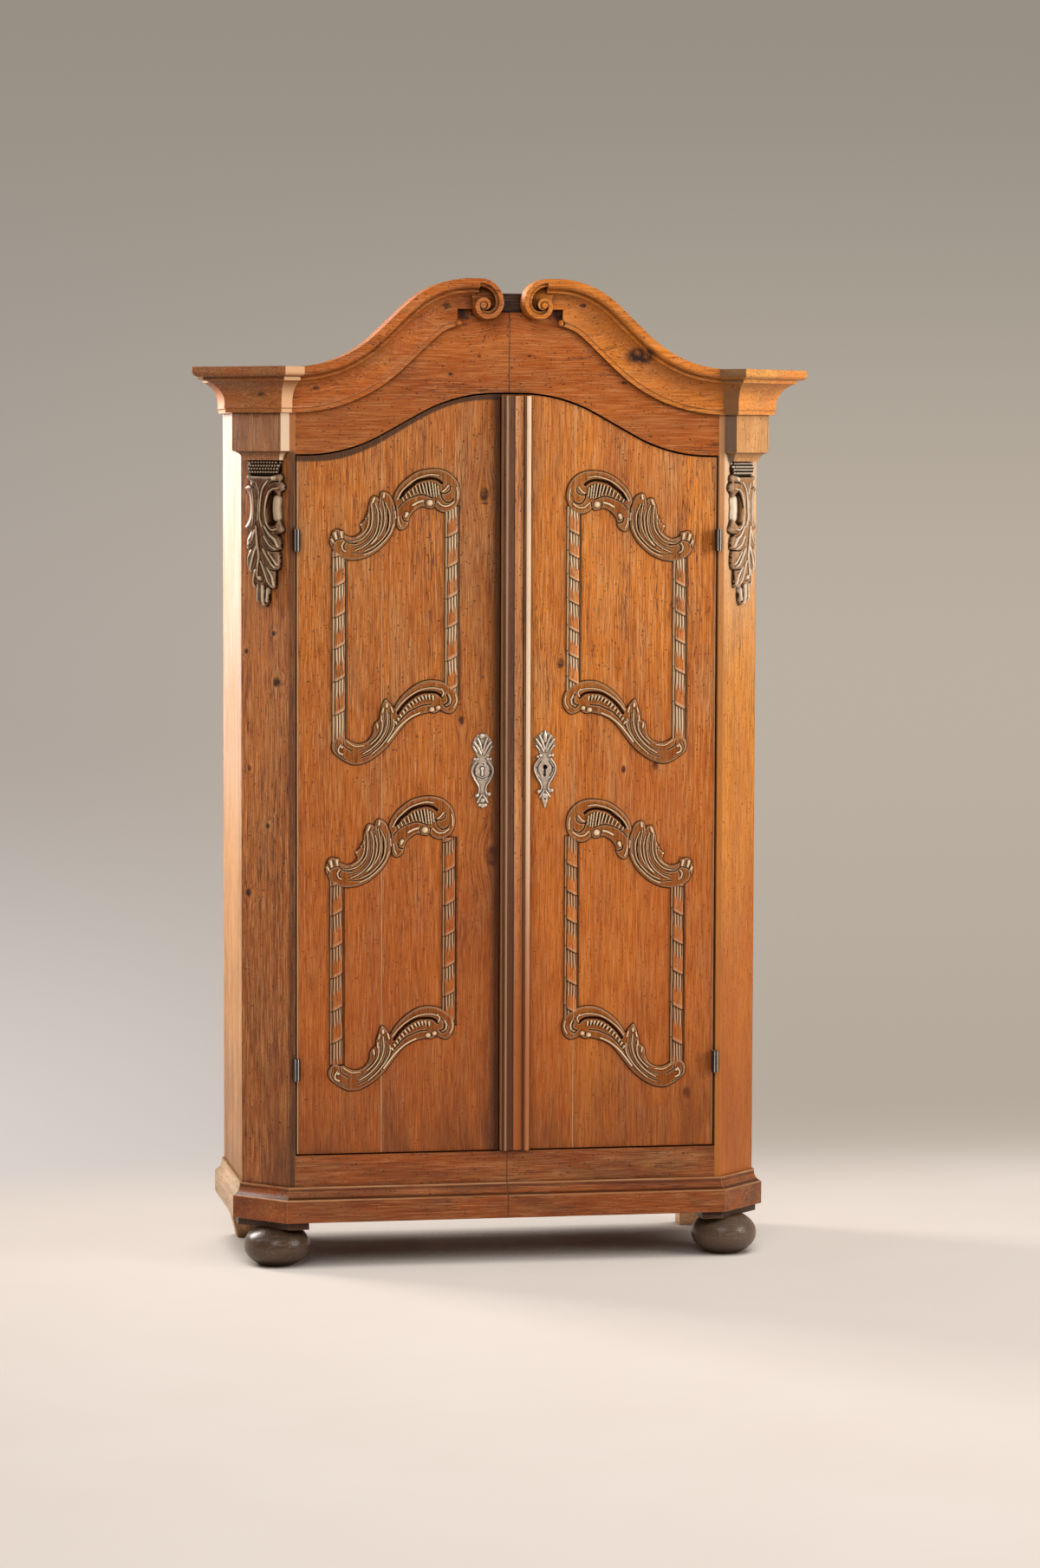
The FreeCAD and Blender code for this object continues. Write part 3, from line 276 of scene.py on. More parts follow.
@dataclass(frozen=True)
class Shade:
    """A stain, painted highlight or painted shade that is full at one place and gone at another, in metres
    along one axis.

    The axis ARCH is the height over the arch of the doors.
    """

    axis: str
    full: float
    gone: float
    share: float
    colour: str
    centre: float | None = None
    ragged: bool = False

    def stain(self, tree: bpy.types.NodeTree, place: Any, grain: Any) -> Any:
        """Gives how far the mark covers.

        Args:
            tree: The material's node tree.
            place: The place's parts.
            grain: The place along, across and through the grain.

        Returns:
            The cover's socket.
        """
        reach = self.over_arch(tree, place) if self.axis == "ARCH" else place[self.axis]
        if self.centre is not None:
            reach = add(tree, "Math", {0: reach, 1: self.centre}, operation="SUBTRACT")
            reach = add(tree, "Math", {0: reach}, operation="ABSOLUTE")
        ends = {0: reach, 1: self.full, 2: self.gone, 3: self.share, 4: 0.0}
        stain = add(tree, "MapRange", ends, interpolation_type="SMOOTHSTEP")
        if self.ragged:
            rim = STAIN_RIM.draw(tree, grain)
            stain = add(tree, "Math", {0: stain, 1: rim}, operation="MULTIPLY")
        return stain

    @staticmethod
    def over_arch(tree: bpy.types.NodeTree, place: Any) -> Any:
        """Measures the height over the arch, whose curve a smoother step follows within 2 mm.

        Args:
            tree: The material's node tree.
            place: The place's parts.

        Returns:
            The height's socket.
        """
        out = add(tree, "Math", {0: place["X"]}, operation="ABSOLUTE")
        ends = {0: out, 1: 0.026, 2: 0.432, 3: 1.844, 4: 1.714}
        arch = add(tree, "MapRange", ends, interpolation_type="SMOOTHERSTEP")
        return add(tree, "Math", {0: place["Z"], 1: arch}, operation="SUBTRACT")


# Darker toward the floor.
LOW_DARKENING = Shade("Z", 0.10, 0.70, 0.50, "#3f1d0b", ragged=True)
WARM_BELOW = Shade("Z", 0.55, 1.45, 0.45, "#a54a08")


@dataclass(frozen=True)
class Pine:
    """Old pine, planed by hand, waxed and worn: honey ground, darker late wood, open checks."""

    name: str
    grain: Grain
    light: str
    mid: str
    deep: str
    seed: float
    nodes: tuple[str, ...] = ()
    seam: float | None = None
    knots: tuple[Knot, ...] = ()
    shades: tuple[Shade, ...] = (LOW_DARKENING,)
    checks: float = 0.85
    gloss: float = 0.40
    streaks: float = 1.0
    faded: float = 0.45
    corners: float = 0.70
    worn_and_highlight: str = "#f0d9b8"
    return_light_and_shade: str = ""
    inward: float = 1.0

    def material(self) -> bpy.types.Material:
        """Builds the finish as a procedural material on Object coordinates.

        Returns:
            The material.
        """
        material, tree = empty_material(self.name)
        place = add(tree, "SeparateXYZ", {0: add(tree, "TexCoord", out="Object")}).node.outputs
        along, across, depth = (place[axis] for axis in self.grain.value)
        depth = add(tree, "Math", {0: depth, 1: self.seed}, operation="ADD")
        if self.seam is not None:
            step = add(tree, "Math", {0: place["X"], 1: self.seam}, operation="GREATER_THAN")
            depth = add(
                tree, "Math", {0: step, 1: BOARD_SHIFT, 2: depth}, operation="MULTIPLY_ADD"
            )
        bent, spot = self.bend(tree, along, across)
        grain = add(tree, "CombineXYZ", {0: along, 1: bent, 2: depth})
        streak = STREAKS.draw(tree, grain, 0.42 * self.streaks)
        fine = FIBRES.noise(tree, grain)
        fibre = add(tree, "MapRange", {0: fine, 1: 0.50, 2: 0.68, 4: 0.90 * self.streaks})
        pale = add(tree, "MapRange", {0: fine, 1: 0.50, 2: 0.30, 4: 0.72 * self.streaks})
        slit = self.slits(tree, grain)
        coats: list[Coat] = [
            (CLOUDS.draw(tree, grain), self.mid),
            (FADING.draw(tree, grain, self.faded), TAN),
            (pale, PALE_FIBRE),
            (streak, self.deep),
            (self.rings(tree, grain, bent), self.deep),
            (fibre, self.deep),
            (slit, CHECK_INK),
        ]
        # Dark eyes of knots, pegs and nail heads, and patches of painted shade.
        if spot is not None:
            rim = KNOT_RIM.draw(tree, grain)
            coats.append((add(tree, "Math", {0: spot, 1: rim}, operation="MULTIPLY"), KNOT_AND_SHADE_INK))
        # Dust, old wax and painted shade darken the corners.
        corner = add(tree, "AmbientOcclusion", {"Distance": 20 * MM}, "AO", samples=6)
        corner = add(tree, "MapRange", {0: corner, 1: 0.35, 2: 0.93, 3: self.corners, 4: 0.0})
        coats.append((corner, CORNER_DUST_AND_SHADE))
        coats += [(shade.stain(tree, place, grain), shade.colour) for shade in self.shades]
        # Undersides are darkened as painted shade, and edges are rubbed pale.
        soft = add(tree, "Bevel", {"Radius": 2 * MM}, samples=6)
        true = add(tree, "NewGeometry", out="Normal")
        way = add(tree, "SeparateXYZ", {0: true}).node.outputs
        under = add(tree, "MapRange", {0: way["Z"], 1: -0.15, 2: -0.9, 4: 0.5})
        same = add(tree, "VectorMath", {0: soft, 1: true}, "Value", operation="DOT_PRODUCT")
        rub = add(tree, "MapRange", {0: same, 1: 0.99, 2: 0.80, 4: 0.5})
        # The carving's dirt and painted shade, and its wear and painted highlights.
        dirt_and_shade = add(tree, "Attribute", out="Fac", attribute_name="dirt_and_shade")
        wear_and_highlight = add(tree, "Attribute", out="Fac", attribute_name="wear_and_highlight")
        # Inward faces get painted light: paled on the left by wear and painted light, darkened on the
        # right as painted shade.
        if self.return_light_and_shade:
            facing = add(tree, "Math", {0: way["X"], 1: self.inward}, operation="MULTIPLY")
            facing = add(tree, "MapRange", {0: facing, 1: 0.3, 2: 0.65, 4: 0.95})
            coats.append((facing, self.return_light_and_shade))
        coats += [(under, UNDERSIDE_SHADE), (rub, RUBBED_EDGE), (dirt_and_shade, CARVED_DIRT_AND_SHADE), (wear_and_highlight, self.worn_and_highlight)]
        colour = painted(tree, self.light, coats)
        # Level tops are matt with dust, as are the corners.
        rough = add(tree, "MapRange", {0: streak, 3: self.gloss, 4: self.gloss + 0.16})
        top = add(tree, "MapRange", {0: way["Z"], 1: 0.90, 2: 0.99})
        rough = add(tree, "Math", {0: top, 1: 0.4, 2: rough}, operation="MULTIPLY_ADD")
        dusty = add(tree, "Math", {0: dirt_and_shade, 1: corner}, operation="MAXIMUM")
        dusty = add(tree, "Math", {0: dusty, 1: top}, operation="MAXIMUM")
        sheen = add(tree, "MapRange", {0: dusty, 1: 0.1, 2: 0.7, 3: 0.4, 4: 0.04})
        dent = add(tree, "Math", {0: fibre, 1: 0.4, 2: slit}, operation="MULTIPLY_ADD")
        dents = {"Strength": 0.6, "Distance": 0.9 * MM, "Height": dent, "Normal": soft}
        finish = {
            "Base Color": colour,
            "Roughness": rough,
            "Normal": add(tree, "Bump", dents, invert=True),
            "IOR": 1.47,
            "Specular IOR Level": sheen,
        }
        add(tree, "OutputMaterial", {0: add(tree, "BsdfPrincipled", finish)})
        return material

    def slits(self, tree: bpy.types.NodeTree, grain: Any) -> Any:
        """Gathers drying checks in patches, with flecks of resin and worm holes.

        Args:
            tree: The material's node tree.
            grain: The place along, across and through the grain.

        Returns:
            How dark each place is with them.
        """
        slit = add(tree, "Math", {0: SLITS.noise(tree, grain), 1: 0.5}, operation="SUBTRACT")
        slit = add(tree, "Math", {0: slit}, operation="ABSOLUTE")
        slit = add(tree, "MapRange", {0: slit, 1: 0.006, 2: 0.028, 3: 1.0, 4: 0.0})
        for mark, way in ((PATCHES, "MULTIPLY"), (FLECKS, "MAXIMUM"), (WORM_HOLES, "MAXIMUM")):
            slit = add(tree, "Math", {0: slit, 1: mark.draw(tree, grain, self.checks)}, operation=way)
        return slit

    def rings(self, tree: bpy.types.NodeTree, grain: Any, bent: Any) -> Any:
        """Draws the year rings, which sway along the board.

        Args:
            tree: The material's node tree.
            grain: The place along, across and through the grain.
            bent: The place across the grain, led round the knots.

        Returns:
            How dark each place is with them.
        """
        phase = add(tree, "Math", {0: bent, 1: 2 * math.pi / RING_GAP}, operation="MULTIPLY")
        sway = {0: WANDER.noise(tree, grain), 1: RING_SWAY, 2: phase}
        phase = add(tree, "Math", sway, operation="MULTIPLY_ADD")
        ring = add(tree, "Math", {0: phase}, operation="SINE")
        return add(tree, "MapRange", {0: ring, 1: 0.3, 2: 1.0, 4: 0.18 * self.streaks})

    def bend(self, tree: bpy.types.NodeTree, along: Any, across: Any) -> tuple[Any, Any]:
        """Leads the grain round each knot.

        Args:
            tree: The material's node tree.
            along: The place along the grain.
            across: The place across the grain.

        Returns:
            The bent place across the grain, and the knots' dark eyes, or None without knots.
        """
        spot = None
        bent = across
        flat = add(tree, "CombineXYZ", {0: along, 1: across})
        for knot in self.knots:
            centre = (knot.along, knot.across, 0.0)
            off = add(tree, "VectorMath", {0: flat, 1: centre}, operation="SUBTRACT")
            slim = add(tree, "VectorMath", {0: off, 1: (0.62, 1.0, 1.0)}, operation="MULTIPLY")
            reach = add(tree, "VectorMath", {0: slim}, "Value", operation="LENGTH")
            ends = {0: reach, 1: 0.0, 2: knot.radius * 4.5, 3: 1.0, 4: 0.0}
            near = add(tree, "MapRange", ends, interpolation_type="SMOOTHERSTEP")
            sideways = add(tree, "SeparateXYZ", {0: off}, "Y")
            push = add(tree, "Math", {0: sideways, 1: near}, operation="MULTIPLY")
            bent = add(tree, "Math", {0: push, 1: -0.75, 2: bent}, operation="MULTIPLY_ADD")
            ends = {0: reach, 1: knot.radius * 0.5, 2: knot.radius * 1.2, 3: 1.0, 4: 0.0}
            eye = add(tree, "MapRange", ends, interpolation_type="SMOOTHSTEP")
            if spot is not None:
                eye = add(tree, "Math", {0: spot, 1: eye}, operation="MAXIMUM")
            spot = eye
        return bent, spot


@dataclass(frozen=True)
class Metal:
    """A smith's metal: hammered, oxidised iron or a worn tinned plate."""

    name: str
    clean: str
    stain: str
    mark: float
    metallic: float
    rough: float
    nodes: tuple[str, ...] = ()
    glint_period: float = 0.0
    glint_place: float = -0.4477

    def material(self) -> bpy.types.Material:
        """Builds the metal with stains of a given size in mm.

        Returns:
            The material.
        """
        material, tree = empty_material(self.name)
        place = add(tree, "TexCoord", out="Object")
        stains = {"Vector": place, "Scale": 1 / (self.mark * MM), "Detail": 5.0, "Roughness": 0.65}
        cloud = add(tree, "TexNoise", stains)
        coats = [
            (add(tree, "MapRange", {0: cloud, 1: 0.35, 2: 0.65}), self.stain),
            # Dirt and painted shade from the carved net, then its wear and painted highlights.
            (add(tree, "Attribute", out="Fac", attribute_name="dirt_and_shade"), "#1c130d"),
            (add(tree, "Attribute", out="Fac", attribute_name="wear_and_highlight"), "#fff6ea"),
        ]
        if self.glint_period:
            # Two painted highlights, as stripes up each knuckle, whose pins stand 450 mm from the middle.
            across = add(tree, "SeparateXYZ", {0: place}, "X")
            across = add(tree, "Math", {0: across}, operation="ABSOLUTE")
            across = add(tree, "Math", {0: across, 1: self.glint_place}, operation="ADD")
            wave = 2 * math.pi / (self.glint_period * MM)
            across = add(tree, "Math", {0: across, 1: wave}, operation="MULTIPLY")
            across = add(tree, "Math", {0: across}, operation="COSINE")
            coats.append((add(tree, "MapRange", {0: across, 1: 0.70, 2: 0.92, 4: 0.85}), "#efe4d6"))
        ends = {0: cloud, 1: 0.3, 2: 0.7, 3: self.rough - 0.08, 4: self.rough + 0.15}
        finish = {
            "Base Color": painted(tree, self.clean, coats),
            "Roughness": add(tree, "MapRange", ends),
            "Normal": add(tree, "Bump", {"Strength": 0.4, "Distance": 0.5 * MM, "Height": cloud}),
            "Metallic": self.metallic,
        }
        add(tree, "OutputMaterial", {0: add(tree, "BsdfPrincipled", finish)})
        return material


@dataclass(frozen=True)
class Stroke:
    """One stroke of the gouge: a path in mm, its half widths along it, and its height."""

    cut: Cut
    width: tuple[float, ...]
    height: float
    path: tuple[Point, ...]

    def samples(self) -> tuple[np.ndarray, np.ndarray]:
        """Rounds the path into short runs.

        Returns:
            Points along the path, and the half width at each.
        """
        raw = np.array(self.path, float)
        if len(raw) == 1:
            return raw, np.array([self.width[0]])
        if self.cut is Cut.BODY:
            ends, last, count = np.vstack([raw[-1:], raw, raw[:2]]), raw[:1], 3
        else:
            ends = np.vstack([2 * raw[0] - raw[1], raw, 2 * raw[-1] - raw[-2]])
            last, count = raw[-1:], 7 if len(raw) > 2 else 2
        t = np.linspace(0, 1, count, endpoint=False)[:, None]
        runs = []
        for a, b, c, d in zip(ends[:-3], ends[1:-2], ends[2:-1], ends[3:]):
            bow = (2 * a - 5 * b + 4 * c - d) * t**2 + (3 * b - a - 3 * c + d) * t**3
            runs.append(0.5 * (2 * b + (c - a) * t + bow))
        line = np.vstack(runs + [last])
        where = np.linspace(0, 1, len(line))
        width = np.interp(where, np.linspace(0, 1, len(self.width)), self.width)
        return line, width


def nearest(
    spots: np.ndarray, line: np.ndarray, width: np.ndarray
) -> tuple[np.ndarray, np.ndarray]:
    """Measures spots against a line.

    Args:
        spots: The spots, in mm.
        line: Points along the line.
        width: The line's half width at each point.

    Returns:
        Each spot's distance to the line, and the line's half width there.
    """
    if len(line) == 1:
        gap = np.hypot(*(spots - line[0]).T)
        return gap, np.full_like(gap, width[0])
    start, run = line[:-1], line[1:] - line[:-1]
    size = np.maximum((run**2).sum(1), 1e-9)
    part = (np.einsum("psk,sk->ps", spots[:, None] - start, run) / size).clip(0, 1)
    far = np.hypot(*np.moveaxis(spots[:, None] - start - part[..., None] * run, 2, 0))
    wides = np.maximum(width[:-1] + part * (width[1:] - width[:-1]), 0.3)
    best = (far / wides).argmin(1)
    rows = np.arange(len(spots))
    return far[rows, best], wides[rows, best]


def enclosed(spots: np.ndarray, line: np.ndarray) -> np.ndarray:
    """Tells which spots a closed outline holds, by counting its crossings.

    Args:
        spots: The spots, in mm.
        line: Points along the outline, the first one again at the end.

    Returns:
        True for each spot inside.
    """
    start, end = line[:-1], line[1:]
    rise = end[:, 1] - start[:, 1]
    rise = np.where(rise == 0, 1e-9, rise)
    level = spots[:, 1:]
    across = start[:, 0] + (level - start[:, 1]) / rise * (end[:, 0] - start[:, 0])
    passed = (start[:, 1] > level) != (end[:, 1] > level)
    return (passed & (spots[:, :1] < across)).sum(1) % 2 == 1


def open_with(piece: bpy.types.Object, kind: str, chosen: np.ndarray) -> None:
    """Opens a piece for editing with some of its points or edges selected.

    Args:
        piece: The piece, which is the active object.
        kind: VERT for points or EDGE for edges.
        chosen: True for each one that is selected.
    """
    bpy.ops.object.mode_set(mode="EDIT")
    bpy.ops.mesh.select_mode(type=kind)
    bpy.ops.mesh.select_all(action="DESELECT")
    bpy.ops.object.mode_set(mode="OBJECT")
    parts = piece.data.vertices if kind == "VERT" else piece.data.edges
    parts.foreach_set("select", chosen)
    bpy.ops.object.mode_set(mode="EDIT")


@dataclass(frozen=True)
class Placing:
    """Where a motif sits in its panel: a shift in mm after an optional mirror."""

    right: float = 0.0
    up: float = 0.0
    mirrored: bool = False

    def move(self, stroke: Stroke) -> Stroke:
        """Gives the stroke in the panel's own place.

        Args:
            stroke: The stroke as drawn.

        Returns:
            The placed stroke.
        """
        flip = -1.0 if self.mirrored else 1.0
        path = tuple((flip * x + self.right, y + self.up) for x, y in stroke.path)
        return Stroke(stroke.cut, stroke.width, stroke.height, path)


@dataclass(frozen=True)
class Seat:
    """The flat face that a carving stands on: its origin and its two directions."""

    origin: Vector
    right: Vector = Vector((1.0, 0.0, 0.0)).freeze()
    up: Vector = Vector((0.0, 0.0, 1.0)).freeze()

    def matrix(self) -> Matrix:
        """Gives the turn that stands a carving made lying flat on this face."""
        out = self.right.cross(self.up)
        turn = Matrix((self.right, self.up, out)).transposed().to_4x4()
        return Matrix.Translation(self.origin) @ turn


@dataclass
class Relief:
    """A carving worked into a fine net whose points stand off a flat ground, in mm.

    Round it, the net goes on as a thin dark halo of dirt and painted shade, and its rim is turned down
    into the ground.
    """

    name: str
    low: Point
    high: Point
    step: float
    halo: float
    edge: float = 0.0
    lift: float = 0.15
    rim: float = 1.2

    def __post_init__(self) -> None:
        """Lays out the net's places and its bare ground."""
        self.columns = max(2, round((self.high[0] - self.low[0]) / self.step))
        self.rows = max(2, round((self.high[1] - self.low[1]) / self.step))
        xs = np.linspace(self.low[0], self.high[0], self.columns + 1)
        ys = np.linspace(self.low[1], self.high[1], self.rows + 1)
        self.u, self.v = np.meshgrid(xs, ys)
        self.rise, self.bed, self.grime, self.shine = (np.zeros_like(self.u) for _ in range(4))
        self.away = np.full_like(self.u, FAR)

    def pierce(self, place: Point, radius: float) -> None:
        """Takes a round hole out of the net.

        Args:
            place: The hole's middle, in mm.
            radius: Its radius, in mm.
        """
        self.away[np.hypot(self.u - place[0], self.v - place[1]) < radius] = FAR

    def press(self, strokes: Iterable[Stroke]) -> None:
        """Cuts the strokes into the net, one after another.

        Args:
            strokes: The strokes, in the panel's own mm.
        """
        for stroke in strokes:
            line, width = stroke.samples()
            reach = width.max() + self.halo + self.step
            pick = np.ones_like(self.u, bool)
            for axis, net in enumerate((self.u, self.v)):
                pick &= (net > line[:, axis].min() - reach) & (net < line[:, axis].max() + reach)
            if not pick.any():
                continue
            spots = np.stack([self.u[pick], self.v[pick]], 1)
            gap, wide = nearest(spots, line, width)
            share = (gap / wide).clip(0, 1)
            within = 1 - share**2
            tall = stroke.height * (wide / width.max()) ** 0.5
            edge = gap - wide
            kept, bed = self.rise[pick], self.bed[pick]
            grime, shine = self.grime[pick], self.shine[pick]
            if stroke.cut is Cut.BODY:
                held = enclosed(spots, line)
                form = stroke.height * np.sqrt(1 - (1 - share) ** 2)
                bed = np.maximum(kept, np.where(held, form, 0.0))
                rise, edge = bed, np.where(held, -gap, gap)
            elif stroke.cut is Cut.FLAT:
                bed = np.maximum(kept, tall * (1 - share**8))
                rise = bed
            # A line is raised, unless its height is nought, and carries a painted highlight.
            elif stroke.cut is Cut.LINE:
                form = np.where(share < 1, bed + tall * within**0.6, 0.0)
                rise = np.maximum(kept, form) if stroke.height else kept
                grime, shine = grime * (1 - within), np.maximum(shine, within**0.4)
            elif stroke.cut is Cut.RIDGE:
                rise = np.maximum(kept, tall * within**0.6)
            # A groove is cut and darkened with dirt and painted shade.
            elif stroke.cut is Cut.GROOVE:
                rise = np.maximum(kept - tall * within, 0.25 * kept)
                grime, shine = np.maximum(grime, within**0.7), shine * (1 - within)
                edge = np.full_like(gap, FAR)
            # A hole is sunk to the ground and painted black as the shade inside it.
            else:
                rise = np.where(share < 1, 0.0, kept)
                grime, shine = np.where(share < 1, 1.0, grime), shine * (share >= 1)
                edge = np.full_like(gap, FAR)
            self.rise[pick], self.bed[pick] = rise, bed
            self.grime[pick], self.shine[pick] = grime, shine
            self.away[pick] = np.minimum(self.away[pick], edge)

    def blurred(self, width: float) -> np.ndarray:
        """Gives the net's heights averaged over a square.

        Args:
            width: The square's side, in mm.

        Returns:
            The averaged heights.
        """
        half = max(1, round(width / self.step / 2))
        out = self.rise
        for axis in (0, 1):
            pad = [(0, 0), (0, 0)]
            pad[axis] = (half + 1, half)
            total = np.cumsum(np.pad(out, pad, mode="edge"), axis=axis)
            size = out.shape[axis]
            top = np.take(total, range(2 * half + 1, 2 * half + 1 + size), axis)
            out = (top - np.take(total, range(size), axis)) / (2 * half + 1)
        return out

    def mesh(
        self,
        seat: Seat,
        dark: float = 1.0,
        shiny: float = 1.0,
        patina: float = 0.0,
        rubbed: float = 1.0,
    ) -> bpy.types.Object:
        """Raises the net as a mesh and stands it on its face.

        Args:
            seat: The face that carries the carving.
            dark: How dark the deepest corners are, with dirt and painted shade.
            shiny: How pale the rubbed crowns and painted highlights are.
            patina: How dark the rest is.
            rubbed: How far every raised edge is rubbed, beside the drawn lines.

        Returns:
            The carving.
        """
        # How far each spot lies under or over what is close round it, in mm.
        near, wide = self.blurred(3.0), self.blurred(9.0)
        # Hollows, grooves and the halo round the carving darken with patina, dirt and painted shade;
        # crowns and drawn lines pale with wear and painted highlights.
        hollow = ((near - self.rise) / 0.6 + (wide - self.rise) / 1.8 + patina / 2).clip(0, 1)
        crown = ((self.rise - near) / 0.7 + (self.rise - wide) / 5.0 - 0.15).clip(0, 1)
        outside = self.away > 0
        ring = (1 - self.away / self.halo).clip(0, 1) ** 0.6
        dirt_and_shade = np.maximum.reduce([hollow, self.grime, np.full_like(hollow, patina)])
        dirt_and_shade = np.where(outside, ring, dirt_and_shade) * dark
        wear_and_highlight = np.where(outside, 0.0, np.maximum(rubbed * crown * (1 - hollow), self.shine)) * shiny
        stand = np.where(outside, 0.0, self.rise + self.edge) + self.lift
        bpy.ops.object.select_all(action="DESELECT")
        bpy.ops.mesh.primitive_grid_add(
            x_subdivisions=self.columns, y_subdivisions=self.rows, size=1.0
        )
        piece = bpy.context.active_object
        piece.name = piece.data.name = self.name
        flat = np.stack([self.u, self.v, stand], 2).reshape(-1, 3) * MM
        piece.data.vertices.foreach_set("co", flat.ravel())
        for label, values in (("dirt_and_shade", dirt_and_shade), ("wear_and_highlight", wear_and_highlight)):
            layer = piece.data.attributes.new(label, "FLOAT", "POINT")
            layer.data.foreach_set("value", values.ravel().astype(np.float32))
        open_with(piece, "VERT", ~(self.away < self.halo).ravel())
        bpy.ops.mesh.delete(type="VERT")
        bpy.ops.mesh.select_all(action="SELECT")
        bpy.ops.mesh.region_to_loop()
        down = (0.0, 0.0, -self.rim * MM)
        bpy.ops.mesh.extrude_edges_move(TRANSFORM_OT_translate={"value": down})
        bpy.ops.object.mode_set(mode="OBJECT")
        piece.matrix_world = seat.matrix()
        bpy.ops.object.transform_apply(location=True, rotation=True, scale=True)
        bpy.ops.object.shade_smooth()
        return piece


def both(stroke: Stroke) -> tuple[Stroke, Stroke]:
    """Gives a stroke and its mirror image."""
    return stroke, Placing(mirrored=True).move(stroke)


def row(
    tops: Sequence[Point], feet: Sequence[Point], width: Widths, height: float
) -> tuple[Stroke, ...]:
    """Gives a row of short flutes.

    Args:
        tops: Where each flute starts.
        feet: Where each flute ends.
        width: Half width along a flute, in mm.
        height: How far a flute stands up, in mm.

    Returns:
        One stroke for each flute.
    """
    return tuple(Cut.LINE(width, height, *ends) for ends in zip(tops, feet))


